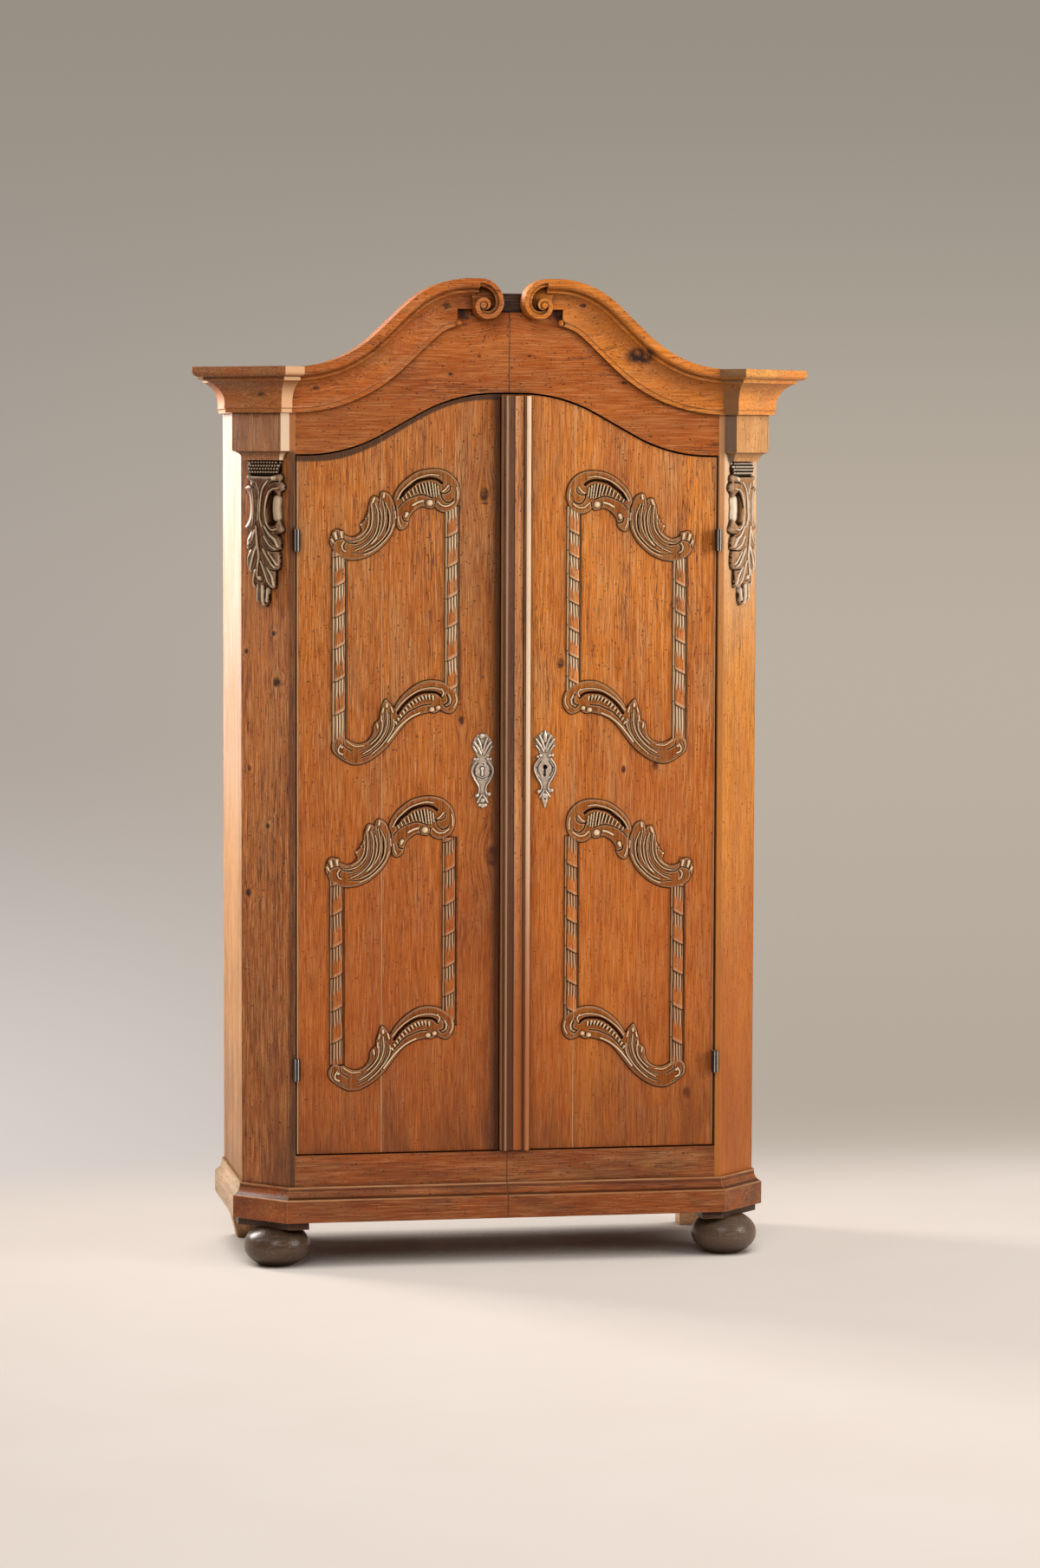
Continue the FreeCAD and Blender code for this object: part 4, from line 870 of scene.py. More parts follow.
# The crest of a panel: a scrolled shell with fluting, and a leaf that ends in a flower.
CREST: tuple[Stroke, ...] = (
    Cut.BODY(
        5, 5, (-5, 27), (-1, 44), (11, 62), (28, 77), (46, 88), (67, 93), (88, 94), (108, 89), (123, 78),
        (133, 63), (137, 44), (135, 28), (127, 13), (114, 5), (101, 3), (89, 8), (82, 15), (77, 11),
        (67, 12), (58, 15), (47, 11), (36, 2), (29, -9), (27, -22), (20, -31), (11, -34), (4, -29),
        (1, -15), (1, 2), (0, 15),
    ),
    Cut.BODY(
        6, 5.5, (-1, 18), (-7, 32), (-11, 39), (-17, 44), (-26, 47), (-32, 43), (-35, 33), (-39, 35),
        (-46, 37), (-52, 33), (-55, 24), (-58, 13), (-59, 2), (-64, -6), (-66, -13), (-72, -19),
        (-74, -28), (-72, -36), (-80, -44), (-92, -49), (-105, -45), (-109, -42), (-110, -36), (-118, -34),
        (-126, -33), (-134, -38), (-137, -50), (-139, -61), (-134, -72), (-130, -81), (-123, -87),
        (-110, -94), (-92, -97), (-69, -94), (-47, -84), (-28, -69), (-13, -52), (-2, -30), (1, -13),
        (0, 5),
    ),
    Cut.GROOVE(4.5, 2.6, (11, 34), (20, 47), (32, 57), (45, 67), (60, 72), (75, 74), (88, 71), (97, 65)),
    Cut.LINE(1.2, 1.6, (3, 30), (11, 45), (21, 56), (32, 66), (46, 74), (60, 79), (75, 82), (90, 80)),
    Cut.LINE(1.3, 1.4, (129, 55), (131, 44), (131, 31)),
    Cut.GROOVE(1.5, 2.4, (5, 12), (14, 23), (27, 32), (41, 37), (54, 40), (67, 37), (77, 33)),
    Cut.LINE(2.2, 1.6, (36, 18), (47, 24), (57, 27)),
    Cut.GROOVE(1.7, 3, (95, 45), (99, 32), (108, 24), (118, 26), (122, 31)),
    Cut.GROOVE(1.5, 3, (116, 57), (114, 48), (105, 43), (95, 43)),
    Cut.LINE(1.6, 2, (99, 47), (105, 51), (111, 59)),
    Cut.GROOVE(1.5, 2.6, (84, 27), (83, 18)),
    Cut.LINE(1.4, 1.4, (88, 26), (99, 17), (112, 17), (123, 24)),
    Cut.LINE(7, 3.6, (72, 23)),
    Cut.GROOVE(1.4, 3.2, (63, 29), (61, 22), (64, 15)),
    Cut.LINE((4.2, 2.6), 3.4, (23, 0), (21, -6)),
    Cut.GROOVE(1.8, 3.2, (14, -5), (17, -14), (25, -16)),
    Cut.LINE(1.2, 1.4, (5, -6), (7, -18), (11, -27)),
    Cut.GROOVE((1, 2.2, 2.4, 1.6), 4, (-19, 19), (-17, 2), (-16, -17), (-19, -33), (-24, -47)),
    Cut.LINE(1, 2.2, (-22, 24), (-13, 2), (-13, -17), (-16, -33), (-28, -52), (-47, -69), (-66, -78)),
    Cut.LINE(1, 2, (-28, 26), (-24, 5), (-23, -15), (-27, -32), (-36, -48), (-51, -63)),
    Cut.LINE(1.3, 2.2, (-1, 5), (0, -10)),
    Cut.LINE(1, 1.4, (-4, -22), (-13, -43), (-28, -61), (-47, -77), (-67, -86)),
    Cut.LINE(1, 2.2, (-43, 21), (-38, 3), (-38, -21), (-43, -41), (-54, -57), (-69, -69), (-86, -77)),
    Cut.LINE(1, 2, (-34, 13), (-30, -6), (-32, -28), (-40, -48), (-53, -64)),
    Cut.LINE(1.1, 2.2, (-52, 22), (-50, 5), (-50, -15), (-54, -32), (-63, -45), (-74, -54), (-90, -59)),
    Cut.LINE(0.9, 1.8, (-58, 2), (-57, -13), (-61, -30), (-71, -43), (-84, -51)),
    Cut.GROOVE(1, 2.4, (-54, 13), (-53, -6), (-54, -22), (-60, -37), (-69, -49), (-84, -56), (-101, -57)),
    Cut.GROOVE(1, 2.4, (-47, 24), (-44, 2), (-44, -19), (-49, -37), (-59, -53), (-73, -64), (-92, -69)),
    Cut.GROOVE(1, 2.4, (-38, 26), (-34, 2), (-35, -22), (-40, -42), (-53, -59), (-67, -71)),
    Cut.GROOVE(1, 2.4, (-30, 31), (-27, 9), (-27, -13), (-30, -32), (-38, -50)),
    Cut.GROOVE(
        1.1, 2.2, (-8, 18), (-7, -6), (-9, -24), (-17, -43), (-32, -60), (-51, -75), (-69, -82),
        (-92, -81),
    ),
    Cut.GROOVE(1.2, 2.4, (-35, 31), (-36, 24)),
    Cut.LINE(2.4, 2, (-46, 32), (-49, 24)),
    Cut.LINE(2.4, 2.2, (-25, 42), (-26, 35)),
    Cut.LINE(2.6, 2.2, (-73, -23)),
    Cut.LINE(2, 1.8, (-63, -10)),
    Cut.GROOVE(1.2, 2.4, (-63, -6), (-60, -13)),
    Cut.GROOVE(1.5, 2.6, (-109, -54), (-99, -61), (-83, -62)),
    Cut.LINE(1.3, 1.8, (-110, -59), (-114, -66), (-112, -75), (-106, -79)),
    Cut.GROOVE(1.3, 2.4, (-106, -61), (-110, -68), (-108, -75)),
    Cut.LINE((3.2, 2.4), 2.6, (-129, -41), (-126, -52)),
    Cut.LINE((3, 2.2), 2.6, (-116, -39), (-114, -50)),
    Cut.LINE((2.6, 2), 2.4, (-136, -54), (-130, -62)),
    Cut.GROOVE(1.2, 3, (-124, -37), (-121, -50)),
    Cut.GROOVE(1.2, 3, (-135, -43), (-130, -55)),
    Cut.GROOVE(1.3, 3, (-133, -69), (-130, -59), (-122, -54), (-110, -52)),
    *row(
        (
            (14, 33), (21, 39), (27, 46), (35, 52), (42, 57), (49, 61), (56, 63), (63, 65), (70, 66),
            (77, 65), (83, 62), (89, 58),
        ),
        (
            (17, 27), (24, 32), (32, 36), (39, 40), (47, 42), (54, 43), (62, 42), (68, 39), (75, 37),
            (81, 36), (86, 36), (91, 40),
        ),
        (1.5, 1.2),
        2.6,
    ),
)

# The base of a panel: a scroll with a string of beads, and a leaf that ends in a curl.
BASE: tuple[Stroke, ...] = (
    Cut.BODY(
        6, 5.5, (-3, 33), (4, 45), (17, 61), (36, 77), (57, 88), (77, 91), (98, 88), (115, 79), (128, 68),
        (134, 53), (132, 36), (124, 24), (115, 20), (104, 23), (96, 27), (91, 24), (81, 21), (75, 23),
        (59, 20), (40, 13), (23, 1), (8, -17), (-7, -37), (-24, -56), (-43, -71), (-61, -81), (-78, -86),
        (-95, -85), (-110, -77), (-123, -68), (-132, -59), (-135, -47), (-133, -38), (-127, -31),
        (-120, -28), (-110, -33), (-103, -32), (-93, -38), (-80, -42), (-67, -40), (-56, -33), (-48, -20),
        (-47, -9), (-43, 2), (-35, 8), (-33, 21), (-29, 34), (-23, 50), (-17, 49), (-9, 40),
    ),
    Cut.GROOVE(4.2, 2.4, (5, 22), (17, 38), (32, 52), (51, 63), (70, 66), (87, 64), (98, 56)),
    Cut.LINE(1.1, 1.5, (1, 28), (13, 43), (30, 58), (49, 69), (68, 74), (85, 74), (96, 71)),
    Cut.LINE(1.4, 1.8, (97, 73), (102, 65), (99, 57)),
    Cut.GROOVE(1.8, 3.2, (106, 65), (111, 55), (111, 44), (104, 39)),
    Cut.LINE(1.4, 1.8, (113, 60), (117, 50), (115, 40)),
    Cut.GROOVE(1.5, 2.8, (101, 40), (108, 34), (117, 40), (120, 50)),
    Cut.LINE(1.2, 1.4, (128, 59), (130, 46), (124, 33)),
    Cut.GROOVE(1.6, 2.6, (-2, -9), (3, -2), (13, 10), (26, 23), (41, 31), (58, 38), (75, 40)),
    Cut.LINE(1.8, 1.4, (-17, -39), (-2, -19), (13, -2), (32, 13), (51, 22)),
    Cut.LINE(5.4, 3.2, (77, 29)),
    Cut.LINE(4.6, 3.2, (91, 33)),
    Cut.GROOVE(1.3, 2.8, (83, 36), (85, 26)),
    Cut.LINE(1.1, 2.2, (-19, 28), (-17, 6), (-22, -16), (-35, -37), (-52, -53), (-69, -63)),
    Cut.LINE(1.1, 2, (-28, 6), (-29, -13), (-38, -29), (-52, -43)),
    Cut.LINE(1.1, 2, (-4, 9), (-5, -9), (-16, -29), (-32, -48), (-50, -64)),
    Cut.GROOVE(1.3, 2.8, (-12, 22), (-11, -2), (-18, -24), (-33, -45), (-53, -63), (-73, -72)),
    Cut.GROOVE(1.1, 2.4, (-24, 21), (-23, 0), (-28, -18), (-39, -35), (-56, -50), (-76, -58)),
    Cut.GROOVE(1.1, 2.4, (-34, 0), (-35, -16), (-44, -31), (-58, -42)),
    Cut.LINE(2.6, 2.4, (-19, 41), (-19, 36)),
    Cut.LINE(1.8, 2, (-26, 32), (-28, 24)),
    Cut.LINE(1.8, 2, (-30, 15), (-30, 6)),
    Cut.LINE(1.8, 2, (-39, 0), (-38, -9)),
    Cut.LINE(1.8, 2, (-9, 34), (-6, 24)),
    Cut.GROOVE(1.5, 2.8, (-111, -36), (-108, -47), (-93, -57)),
    Cut.LINE(1.6, 1.8, (-117, -45), (-121, -53), (-120, -60), (-112, -64)),
    Cut.LINE(3, 2.6, (-114, -49)),
    Cut.GROOVE(1.2, 2.2, (-126, -41), (-128, -53), (-120, -66), (-105, -75)),
    Cut.LINE(1, 1.4, (-103, -37), (-86, -47), (-67, -46)),
    *row(
        (
            (0, 3), (5, 11), (10, 18), (16, 26), (22, 33), (28, 40), (35, 45), (42, 50), (49, 54),
            (56, 57), (64, 58), (71, 59), (79, 57),
        ),
        (
            (3, -2), (8, 6), (13, 13), (19, 20), (26, 27), (33, 33), (39, 39), (46, 43), (53, 47),
            (60, 49), (66, 50), (73, 50), (80, 48),
        ),
        (2.3, 1),
        2.6,
    ),
)


@dataclass(frozen=True)
class Ribbon:
    """A ribbon wound down between crest and base: its middle, ends and turns, in mm."""

    middle: float
    low: float
    high: float
    turns: tuple[float, ...]
    pale: float = 0.95
    half: float = 12.2
    border: float = 13.6
    rim: float = 15.0
    flute: float = 6.0

    def carve(self, relief: Relief, lean: float) -> None:
        """Works borders, turns and flutes into a net.

        Args:
            relief: The net, in the door's own mm.
            lean: 1 where each turn rises to the right, -1 where it rises to the left.
        """
        x = relief.u - self.middle
        side = lean * (x / self.half).clip(-1, 1)
        level = relief.v - 4.5 * np.sin(side * math.pi / 2) - 9.0 * side.clip(0, 1) ** 7
        marks = np.sort([self.low - 40.0, *self.turns, self.turns[0] + 62.0, self.high + 90.0])
        upper = np.searchsorted(marks, level).clip(1, len(marks) - 1)
        span = marks[upper] - marks[upper - 1]
        fall = (marks[upper] - level) / span
        body = (1 - np.abs(x / self.half) ** 6).clip(0, 1)
        wave = 0.5 + 0.5 * np.cos(2 * math.pi * (x + 0.5 * np.sin(level / 17)) / self.flute)
        stop = 0.52 + 0.07 * np.sin(x * 1.7 + level / 31)
        fluted = ((stop - fall) / 0.12).clip(0, 1)
        relief.rise = body * (1.6 + 3.8 * fall - 1.9 * fluted * (1 - wave) + 0.5 * fluted)
        left = np.exp(-(((x + self.border) / 1.3) ** 2))
        right = np.exp(-(((x - self.border) / 1.1) ** 2))
        relief.rise = np.maximum(relief.rise, 4.2 * left + 2.0 * right)
        ends = np.maximum(self.low - relief.v, relief.v - self.high)
        relief.away = np.maximum(np.abs(x) - self.rim, ends)
        # Dirt and painted shade in the flutes and beside the borders, and a painted shadow just under each
        # turn's edge; wear and painted highlights on the flutes' crowns, the left border and each turn's
        # edge.
        under = (1.3 - fall * span / 2.6).clip(0, 1)
        inner = 0.8 * np.exp(-(((x + 11.4) / 0.9) ** 2))
        outer = np.exp(-(((x - 13.2) / 1.7) ** 2))
        relief.grime = np.maximum.reduce([fluted * (1 - wave) ** 1.4, under, inner, outer])
        relief.shine = np.maximum.reduce([fluted * wave * body, left, 0.35 * body * (fall > 0.9)])
        relief.shine *= (1 - under) * (1 - outer)


def finish_piece(
    piece: bpy.types.Object, material: bpy.types.Material, body: str
) -> None:
    """Gives a new piece its material and body, and reports it.

    Args:
        piece: The new piece.
        material: Its finish.
        body: The CAD body it moves with.
    """
    piece.data.materials.clear()
    piece.data.materials.append(material)
    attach(piece, body)
    LOG.info("%s: %d faces on %s", piece.name, len(piece.data.polygons), body)


def dress(node: str, material: bpy.types.Material) -> None:
    """Puts a finish on a CAD node's material slots.

    Args:
        node: The node's name.
        material: Its finish.
    """
    piece = NODES[node]
    if not piece.material_slots:
        piece.data.materials.append(material)
    for place in piece.material_slots:
        place.material = material
    LOG.info("%s: %s", node, material.name)


@dataclass(frozen=True)
class LockPlate:
    """A cast plate round a keyhole, the left one with a false keyhole."""

    side: Side
    centre: Point
    strokes: tuple[Stroke, ...]
    bore: float = 0.0

    def build(self, face: float, metal: bpy.types.Material) -> None:
        """Casts the plate and sets it on its door.

        Args:
            face: Where the door's face is, front to back.
            metal: The plate's finish.
        """
        name = f"lock_plate_{self.side.value}"
        relief = Relief(name, (-27, -90), (27, 86), step=0.6, halo=0.8, edge=1.3)
        relief.press(self.strokes)
        if self.bore:
            relief.pierce((0.0, 0.0), self.bore)
        seat = Seat(Vector((self.centre[0] * MM, face, self.centre[1] * MM)))
        piece = relief.mesh(seat, dark=0.95, shiny=0.75)
        finish_piece(piece, metal, f"{self.side.value}_door")
        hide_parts(f"escutcheon_{self.side.value}")


@dataclass
class Door:
    """One carved leaf: its boards, two carved panels and its lock plate."""

    side: Side
    boards: Pine
    crests: tuple[Placing, ...]
    bases: tuple[Placing, ...]
    ribbons: tuple[Ribbon, ...]
    plate: LockPlate
    lean: float
    ribbon_room: Point = (19, 2)
    motif_room: float = 18

    def build(self, metal: bpy.types.Material) -> None:
        """Carves the leaf's panels and dresses its boards.

        Args:
            metal: The lock plate's finish.
        """
        wood = self.boards.material()
        hand = self.side.value
        for label in ("hinge_board", "meeting_board"):
            dress(f"door_{hand}_{label}", wood)
        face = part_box(f"door_{hand}_hinge_board")[0].y
        self.plate.build(face, metal)
        seat = Seat(Vector((0, face, 0)))
        for number, ribbon in enumerate(self.ribbons, 1):
            aside, over = self.ribbon_room
            low = (ribbon.middle - aside, ribbon.low - over)
            high = (ribbon.middle + aside, ribbon.high + over)
            relief = Relief(f"carved_ribbon_{hand}_{number}", low, high, step=0.9, halo=2.5)
            ribbon.carve(relief, self.lean)
            piece = relief.mesh(seat, shiny=ribbon.pale, rubbed=0.2)
            finish_piece(piece, wood, f"{hand}_door")
        for kind, motif, places in (("crest", CREST, self.crests), ("base", BASE, self.bases)):
            for number, placing in enumerate(places, 1):
                strokes = [placing.move(s) for s in motif]
                axes = list(zip(*(p for s in strokes for p in s.path)))
                low = tuple(min(axis) - self.motif_room for axis in axes)
                high = tuple(max(axis) + self.motif_room for axis in axes)
                relief = Relief(f"carved_{kind}_{hand}_{number}", low, high, step=1.0, halo=2.8)
                relief.press(strokes)
                piece = relief.mesh(seat, patina=0.38, rubbed=0.3)
                finish_piece(piece, wood, f"{hand}_door")


# A drop under a capital: two scrolls with a pleat between, three leaves a side and a bud.
PENDANT: tuple[Stroke, ...] = (
    Cut.BODY(
        14, 15, (-38, -30), (-40, -37), (-29, -45), (-38, -51), (-46, -58), (-36, -69), (-32, -89),
        (-32, -111), (-37, -127), (-46, -140), (-40, -146), (-32, -150), (-38, -159), (-41, -169),
        (-41, -186), (-35, -188), (-39, -200), (-39, -220), (-36, -231), (-31, -236), (-26, -232),
        (-27, -247), (-25, -263), (-21, -267), (-14, -263), (-14, -272), (-15, -292), (-11, -298),
        (-4, -297), (0, -302), (6, -306), (12, -299), (16, -288), (15, -274), (12, -263), (21, -265),
        (28, -268), (32, -265), (34, -249), (34, -231), (40, -228), (45, -218), (45, -200), (42, -188),
        (47, -185), (48, -175), (45, -163), (39, -155), (51, -151), (54, -143), (47, -129), (42, -107),
        (42, -84), (47, -68), (56, -60), (55, -50), (49, -44), (51, -37), (48, -30), (38, -28), (-27, -28),
    ),
    Cut.GROOVE((12.5, 13.5, 12.5), 9, (31, -73), (28, -98), (31, -127)),
    # A painted highlight on the inner wall of the scroll's hollow.
    Cut.LINE(9, 0, (38, -82), (36, -98), (38, -118)),
    Cut.LINE(
        1.5, 2.4, (46, -58), (33, -60), (22, -68), (16, -84), (13, -102), (14, -120), (20, -136),
        (31, -145), (43, -143),
    ),
    Cut.GROOVE(1.6, 5, (-46, -66), (-38, -77), (-35, -98), (-38, -120), (-45, -134)),
    Cut.LINE(1.5, 2.6, (-45, -59), (-35, -70), (-31, -89), (-31, -111), (-36, -128), (-45, -139)),
    Cut.LINE(1.5, 2.6, (21, -43), (9, -57), (4, -71), (1, -95), (0, -120), (5, -138)),
    Cut.LINE(1.2, 2, (-10, -46), (-3, -71), (-5, -98), (-6, -125)),
    Cut.GROOVE(1.5, 4, (8, -46), (-1, -62), (-2, -89), (-3, -120), (0, -138)),
    Cut.GROOVE(1.3, 3.5, (-16, -57), (-11, -77), (-11, -107), (-13, -134)),
    Cut.LINE(1.2, 2, (-21, -62), (-17, -89), (-18, -116), (-21, -138)),
    Cut.LINE(
        (1.9, 2.2, 2.2, 1.4), 4, (-10, -138), (-8, -157), (-6, -177), (-2, -200), (-5, -218), (-8, -243),
    ),
    Cut.LINE(6.2, 3.5, (36, -36)),
    Cut.LINE(4.8, 3, (-34, -37)),
    Cut.LINE(2.2, 2.6, (-27, -43), (-22, -50)),
    Cut.GROOVE(2, 5, (-40, -49), (-27, -53), (-16, -58)),
    Cut.GROOVE(2, 5, (44, -44), (30, -46), (25, -49)),
    Cut.LINE(5, 4.5, (0, -246)),
    Cut.GROOVE(1.3, 5, (-6, -241), (-4, -253), (7, -253), (8, -243)),
    Cut.GROOVE(1.8, 5, (5, -129), (11, -149), (23, -164), (38, -176)),
    Cut.LINE(2.2, 2.6, (12, -138), (25, -155), (38, -166), (44, -180)),
    Cut.LINE(2, 2.6, (11, -159), (23, -175), (38, -185)),
    Cut.GROOVE(1.6, 5, (5, -163), (12, -179), (27, -189), (42, -189)),
    Cut.LINE(2.2, 2.8, (8, -185), (19, -202), (36, -224)),
    Cut.GROOVE(1.5, 4.5, (14, -186), (25, -204), (40, -221)),
    Cut.LINE(1.8, 2.4, (22, -192), (34, -206), (41, -218)),
    Cut.GROOVE(1.6, 5, (4, -193), (11, -211), (23, -227), (35, -231)),
    Cut.LINE(2, 2.6, (2, -211), (11, -231), (21, -254), (28, -265)),
    Cut.GROOVE(1.5, 4.5, (10, -217), (20, -236), (30, -257)),
    Cut.LINE(1.6, 2.2, (18, -224), (28, -240), (31, -261)),
    Cut.LINE(2.2, 2.8, (-14, -146), (-22, -167), (-35, -185)),
    Cut.GROOVE(1.5, 4.5, (-20, -157), (-26, -174), (-33, -180)),
    Cut.GROOVE(1.6, 5, (-11, -163), (-19, -181), (-35, -189)),
    Cut.LINE(2.2, 2.6, (-10, -181), (-19, -202), (-24, -220), (-31, -233)),
    Cut.GROOVE(1.5, 4.5, (-16, -188), (-25, -206), (-29, -224)),
    Cut.LINE(1.6, 2.2, (-25, -192), (-34, -206), (-35, -222)),
    Cut.GROOVE(1.6, 5, (-10, -211), (-17, -227), (-27, -235)),
    Cut.LINE(2, 2.6, (-11, -229), (-17, -245), (-20, -265)),
    Cut.GROOVE(1.4, 4.5, (-18, -235), (-24, -250), (-24, -262)),
    Cut.LINE(2.6, 3, (-8, -261), (-9, -279), (-10, -294)),
    Cut.GROOVE(1.6, 5.5, (-2, -258), (-3, -279), (-4, -297)),
    Cut.LINE(2.6, 2.6, (5, -262), (6, -283), (5, -302)),
    Cut.GROOVE(1.4, 5, (9, -265), (10, -283), (9, -299)),
    Cut.LINE(1.6, 2.2, (13, -267), (14, -283), (12, -295)),
)


@dataclass(frozen=True)
class Pendant:
    """A carved drop under a capital: lattice, two scrolls, leaves and a bud."""

    side: Side
    half_strip: float = 464.0
    half_case: float = 555.0

    def build(self, wood: bpy.types.Material) -> None:
        """Carves the drop and stands it on its canted post.

        Args:
            wood: The carved pine.
        """
        hand, sign = self.side.value, self.side.sign
        flip = Placing(mirrored=self.side is Side.RIGHT)
        name = f"carved_pendant_{hand}"
        relief = Relief(name, (-62, -328), (62, 1), step=0.95, halo=2.0, edge=3.0)
        relief.press(flip.move(s) for s in (*PENDANT, *self.lattice()))
        middle = (self.half_strip + self.half_case) / 2 * MM * sign
        cant = (self.half_case - self.half_strip) / 2 * MM
        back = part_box(f"corner_post_{hand}")[0].y + cant
        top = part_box(f"pendant_{hand}")[1].z
        lean = math.sqrt(0.5)
        seat = Seat(Vector((middle, back, top)), Vector((lean, sign * lean, 0.0)))
        piece = relief.mesh(seat, shiny=0.85, patina=0.2, rubbed=0.25)
        finish_piece(piece, wood, "carcass")
        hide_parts(f"pendant_{hand}")

    @staticmethod
    def lattice() -> list[Stroke]:
        """Gives the band of small studs at the top.

        Returns:
            The band's ground and its studs.
        """
        # The ground between the studs is painted black as shade, and each stud carries a painted
        # highlight.
        cuts = [
            Cut.FLAT(16.0, 7.0, (-27, -16), (29, -16)),
            Cut.HOLE(19.0, 0.0, (-26, -15), (28, -15)),
            Cut.FLAT(15.5, 6.0, (-26, -15.5), (28, -15.5)),
        ]
        for line, drop in enumerate((-4.4, -11.4, -17.8, -24.8)):
            low, high = -41.6 + 3.0 * line, 42.5 - 1.9 * line
            for place in np.linspace(low, high, 12 if line < 2 else 11):
                cuts.append(Cut.LINE(2.2, 3.0, (float(place), drop)))
        return cuts


# The plates' keyholes and small holes are painted black, as the shade inside them.
PLATE_LEFT = LockPlate(
    Side.LEFT,
    (-54.0, 1048.0),
    (
        Cut.FLAT((23.0, 23.0), 0.8, (0, 9), (0, -6)),
        Cut.FLAT((13.0, 14.0, 22.0, 16.0), 0.8, (1, 26), (1, 38), (0, 54), (0, 64)),
        Cut.FLAT((20.0, 12.0, 9.0, 12.0), 0.8, (0, -12), (0, -26), (0, -42), (0, -58)),
        Cut.RIDGE(6.2, 4.2, (-1.5, 74)),
        *both(Cut.RIDGE((2.6, 3.4, 3.0), 3.6, (3, 36), (10, 50), (18, 61))),
        *both(Cut.RIDGE((2.2, 3.0, 2.6), 3.8, (1, 40), (5, 56), (10, 69))),
        *both(Cut.RIDGE((2.0, 2.4), 3.0, (12, 40), (20, 52))),
        Cut.RIDGE(3.6, 4.0, (-16.7, 25.4)),
        Cut.RIDGE(3.4, 4.0, (-10.9, 25.4)),
        Cut.RIDGE(3.4, 4.0, (10.9, 25.4)),
        Cut.RIDGE(3.6, 4.0, (16.7, 25.4)),
        *both(
            Cut.RIDGE(
                (1.6, 2.0, 1.6), 3.6, (13, 21), (21, 9), (22.5, -3), (17, -17), (9, -30), (7, -40),
                (9.5, -50),
            )
        ),
        *both(Cut.GROOVE(2.6, 1.0, (9, 17), (15, 9), (17.5, -3), (12, -14))),
        Cut.RIDGE(4.4, 2.6, (1.5, 15)),
        Cut.HOLE(2.2, 0.0, (1.5, 15)),
        Cut.HOLE(6.2, 0.0, (-0.7, 5.5)),
        Cut.HOLE((4.2, 4.8), 0.0, (-0.7, 3), (-0.7, -9)),
        Cut.LINE(4.4, 2.4, (-0.7, 5.5)),
        Cut.LINE((2.4, 3.0), 2.4, (-0.7, 3), (-0.7, -8)),
        *both(Cut.HOLE(2.4, 0.0, (16.3, -1))),
        Cut.RIDGE(1.3, 2.8, (-11, -14), (0, -18.5), (11, -14)),
        Cut.RIDGE(1.2, 2.6, (-8, -10), (0, -13.5), (8, -10)),
        Cut.RIDGE(4.6, 4.2, (-11.5, -51.5)),
        Cut.RIDGE(4.6, 4.2, (14, -49.0)),
        *both(Cut.RIDGE((2.0, 2.2), 3.4, (2, -51), (11, -66))),
        Cut.RIDGE(5.0, 2.4, (0.7, -62)),
        Cut.RIDGE(5.4, 4.0, (0.7, -73.5)),
        Cut.RIDGE(4.0, 3.6, (-6, -72)),
        Cut.RIDGE(4.0, 3.6, (7, -72)),
    ),
)
PLATE_RIGHT = LockPlate(
    Side.RIGHT,
    (80.0, 1055.0),
    (
        Cut.FLAT((22.5, 22.5), 0.8, (0, 2), (0, -12)),
        Cut.FLAT((12.0, 13.0, 21.0, 14.0), 0.8, (0, 20), (0, 34), (0, 52), (0, 62)),
        Cut.FLAT((18.0, 11.0, 8.0, 11.0), 0.8, (0, -20), (0, -32), (0, -46), (0, -60)),
        Cut.RIDGE((4.0, 5.0, 1.0), 3.8, (0, 56), (0, 66), (0, 78)),
        *both(Cut.RIDGE((2.6, 3.2, 2.8), 3.6, (3, 34), (10, 46), (19, 59))),
        *both(Cut.RIDGE((2.2, 3.0, 2.6), 3.8, (1, 38), (6, 54), (12, 67))),
        *both(Cut.RIDGE((2.0, 2.4), 3.0, (12, 36), (19, 46))),
        Cut.RIDGE(3.5, 4.0, (-16, 22.5)),
        Cut.RIDGE(4.0, 4.0, (-9.4, 25.0)),
        Cut.RIDGE(4.0, 4.0, (9.4, 25.0)),
        Cut.RIDGE(3.5, 4.0, (16, 25.4)),
        *both(
            Cut.RIDGE(
                (1.6, 2.0, 1.6), 3.6, (12, 19), (21, 6), (22.5, -6), (17, -20), (9, -34), (7, -43),
                (10, -52),
            )
        ),
        *both(Cut.HOLE(2.0, 0.0, (17.5, -1))),
        *both(Cut.GROOVE(2.2, 1.0, (8, 12), (14, 4), (15.5, -8), (10, -18))),
        Cut.RIDGE(1.2, 2.4, (-10, -21), (0, -26), (10, -21)),
        Cut.RIDGE(4.6, 4.2, (-13, -51.5)),
        Cut.RIDGE(4.6, 4.2, (14.5, -49.3)),
        *both(Cut.RIDGE((1.8, 2.0), 3.2, (2, -50), (11, -63))),
        Cut.RIDGE((8.0, 6.0, 1.0), 3.0, (0, -62), (0, -72), (0.5, -86)),
        Cut.GROOVE(2.6, 3.5, (0, -67.4)),
        Cut.HOLE(5.8, 0.0, (-0.3, 0)),
        Cut.HOLE((2.6, 2.6, 3.8), 0.0, (-0.7, -5), (-0.7, -12), (-0.7, -17)),
    ),
    bore=4.6,
)


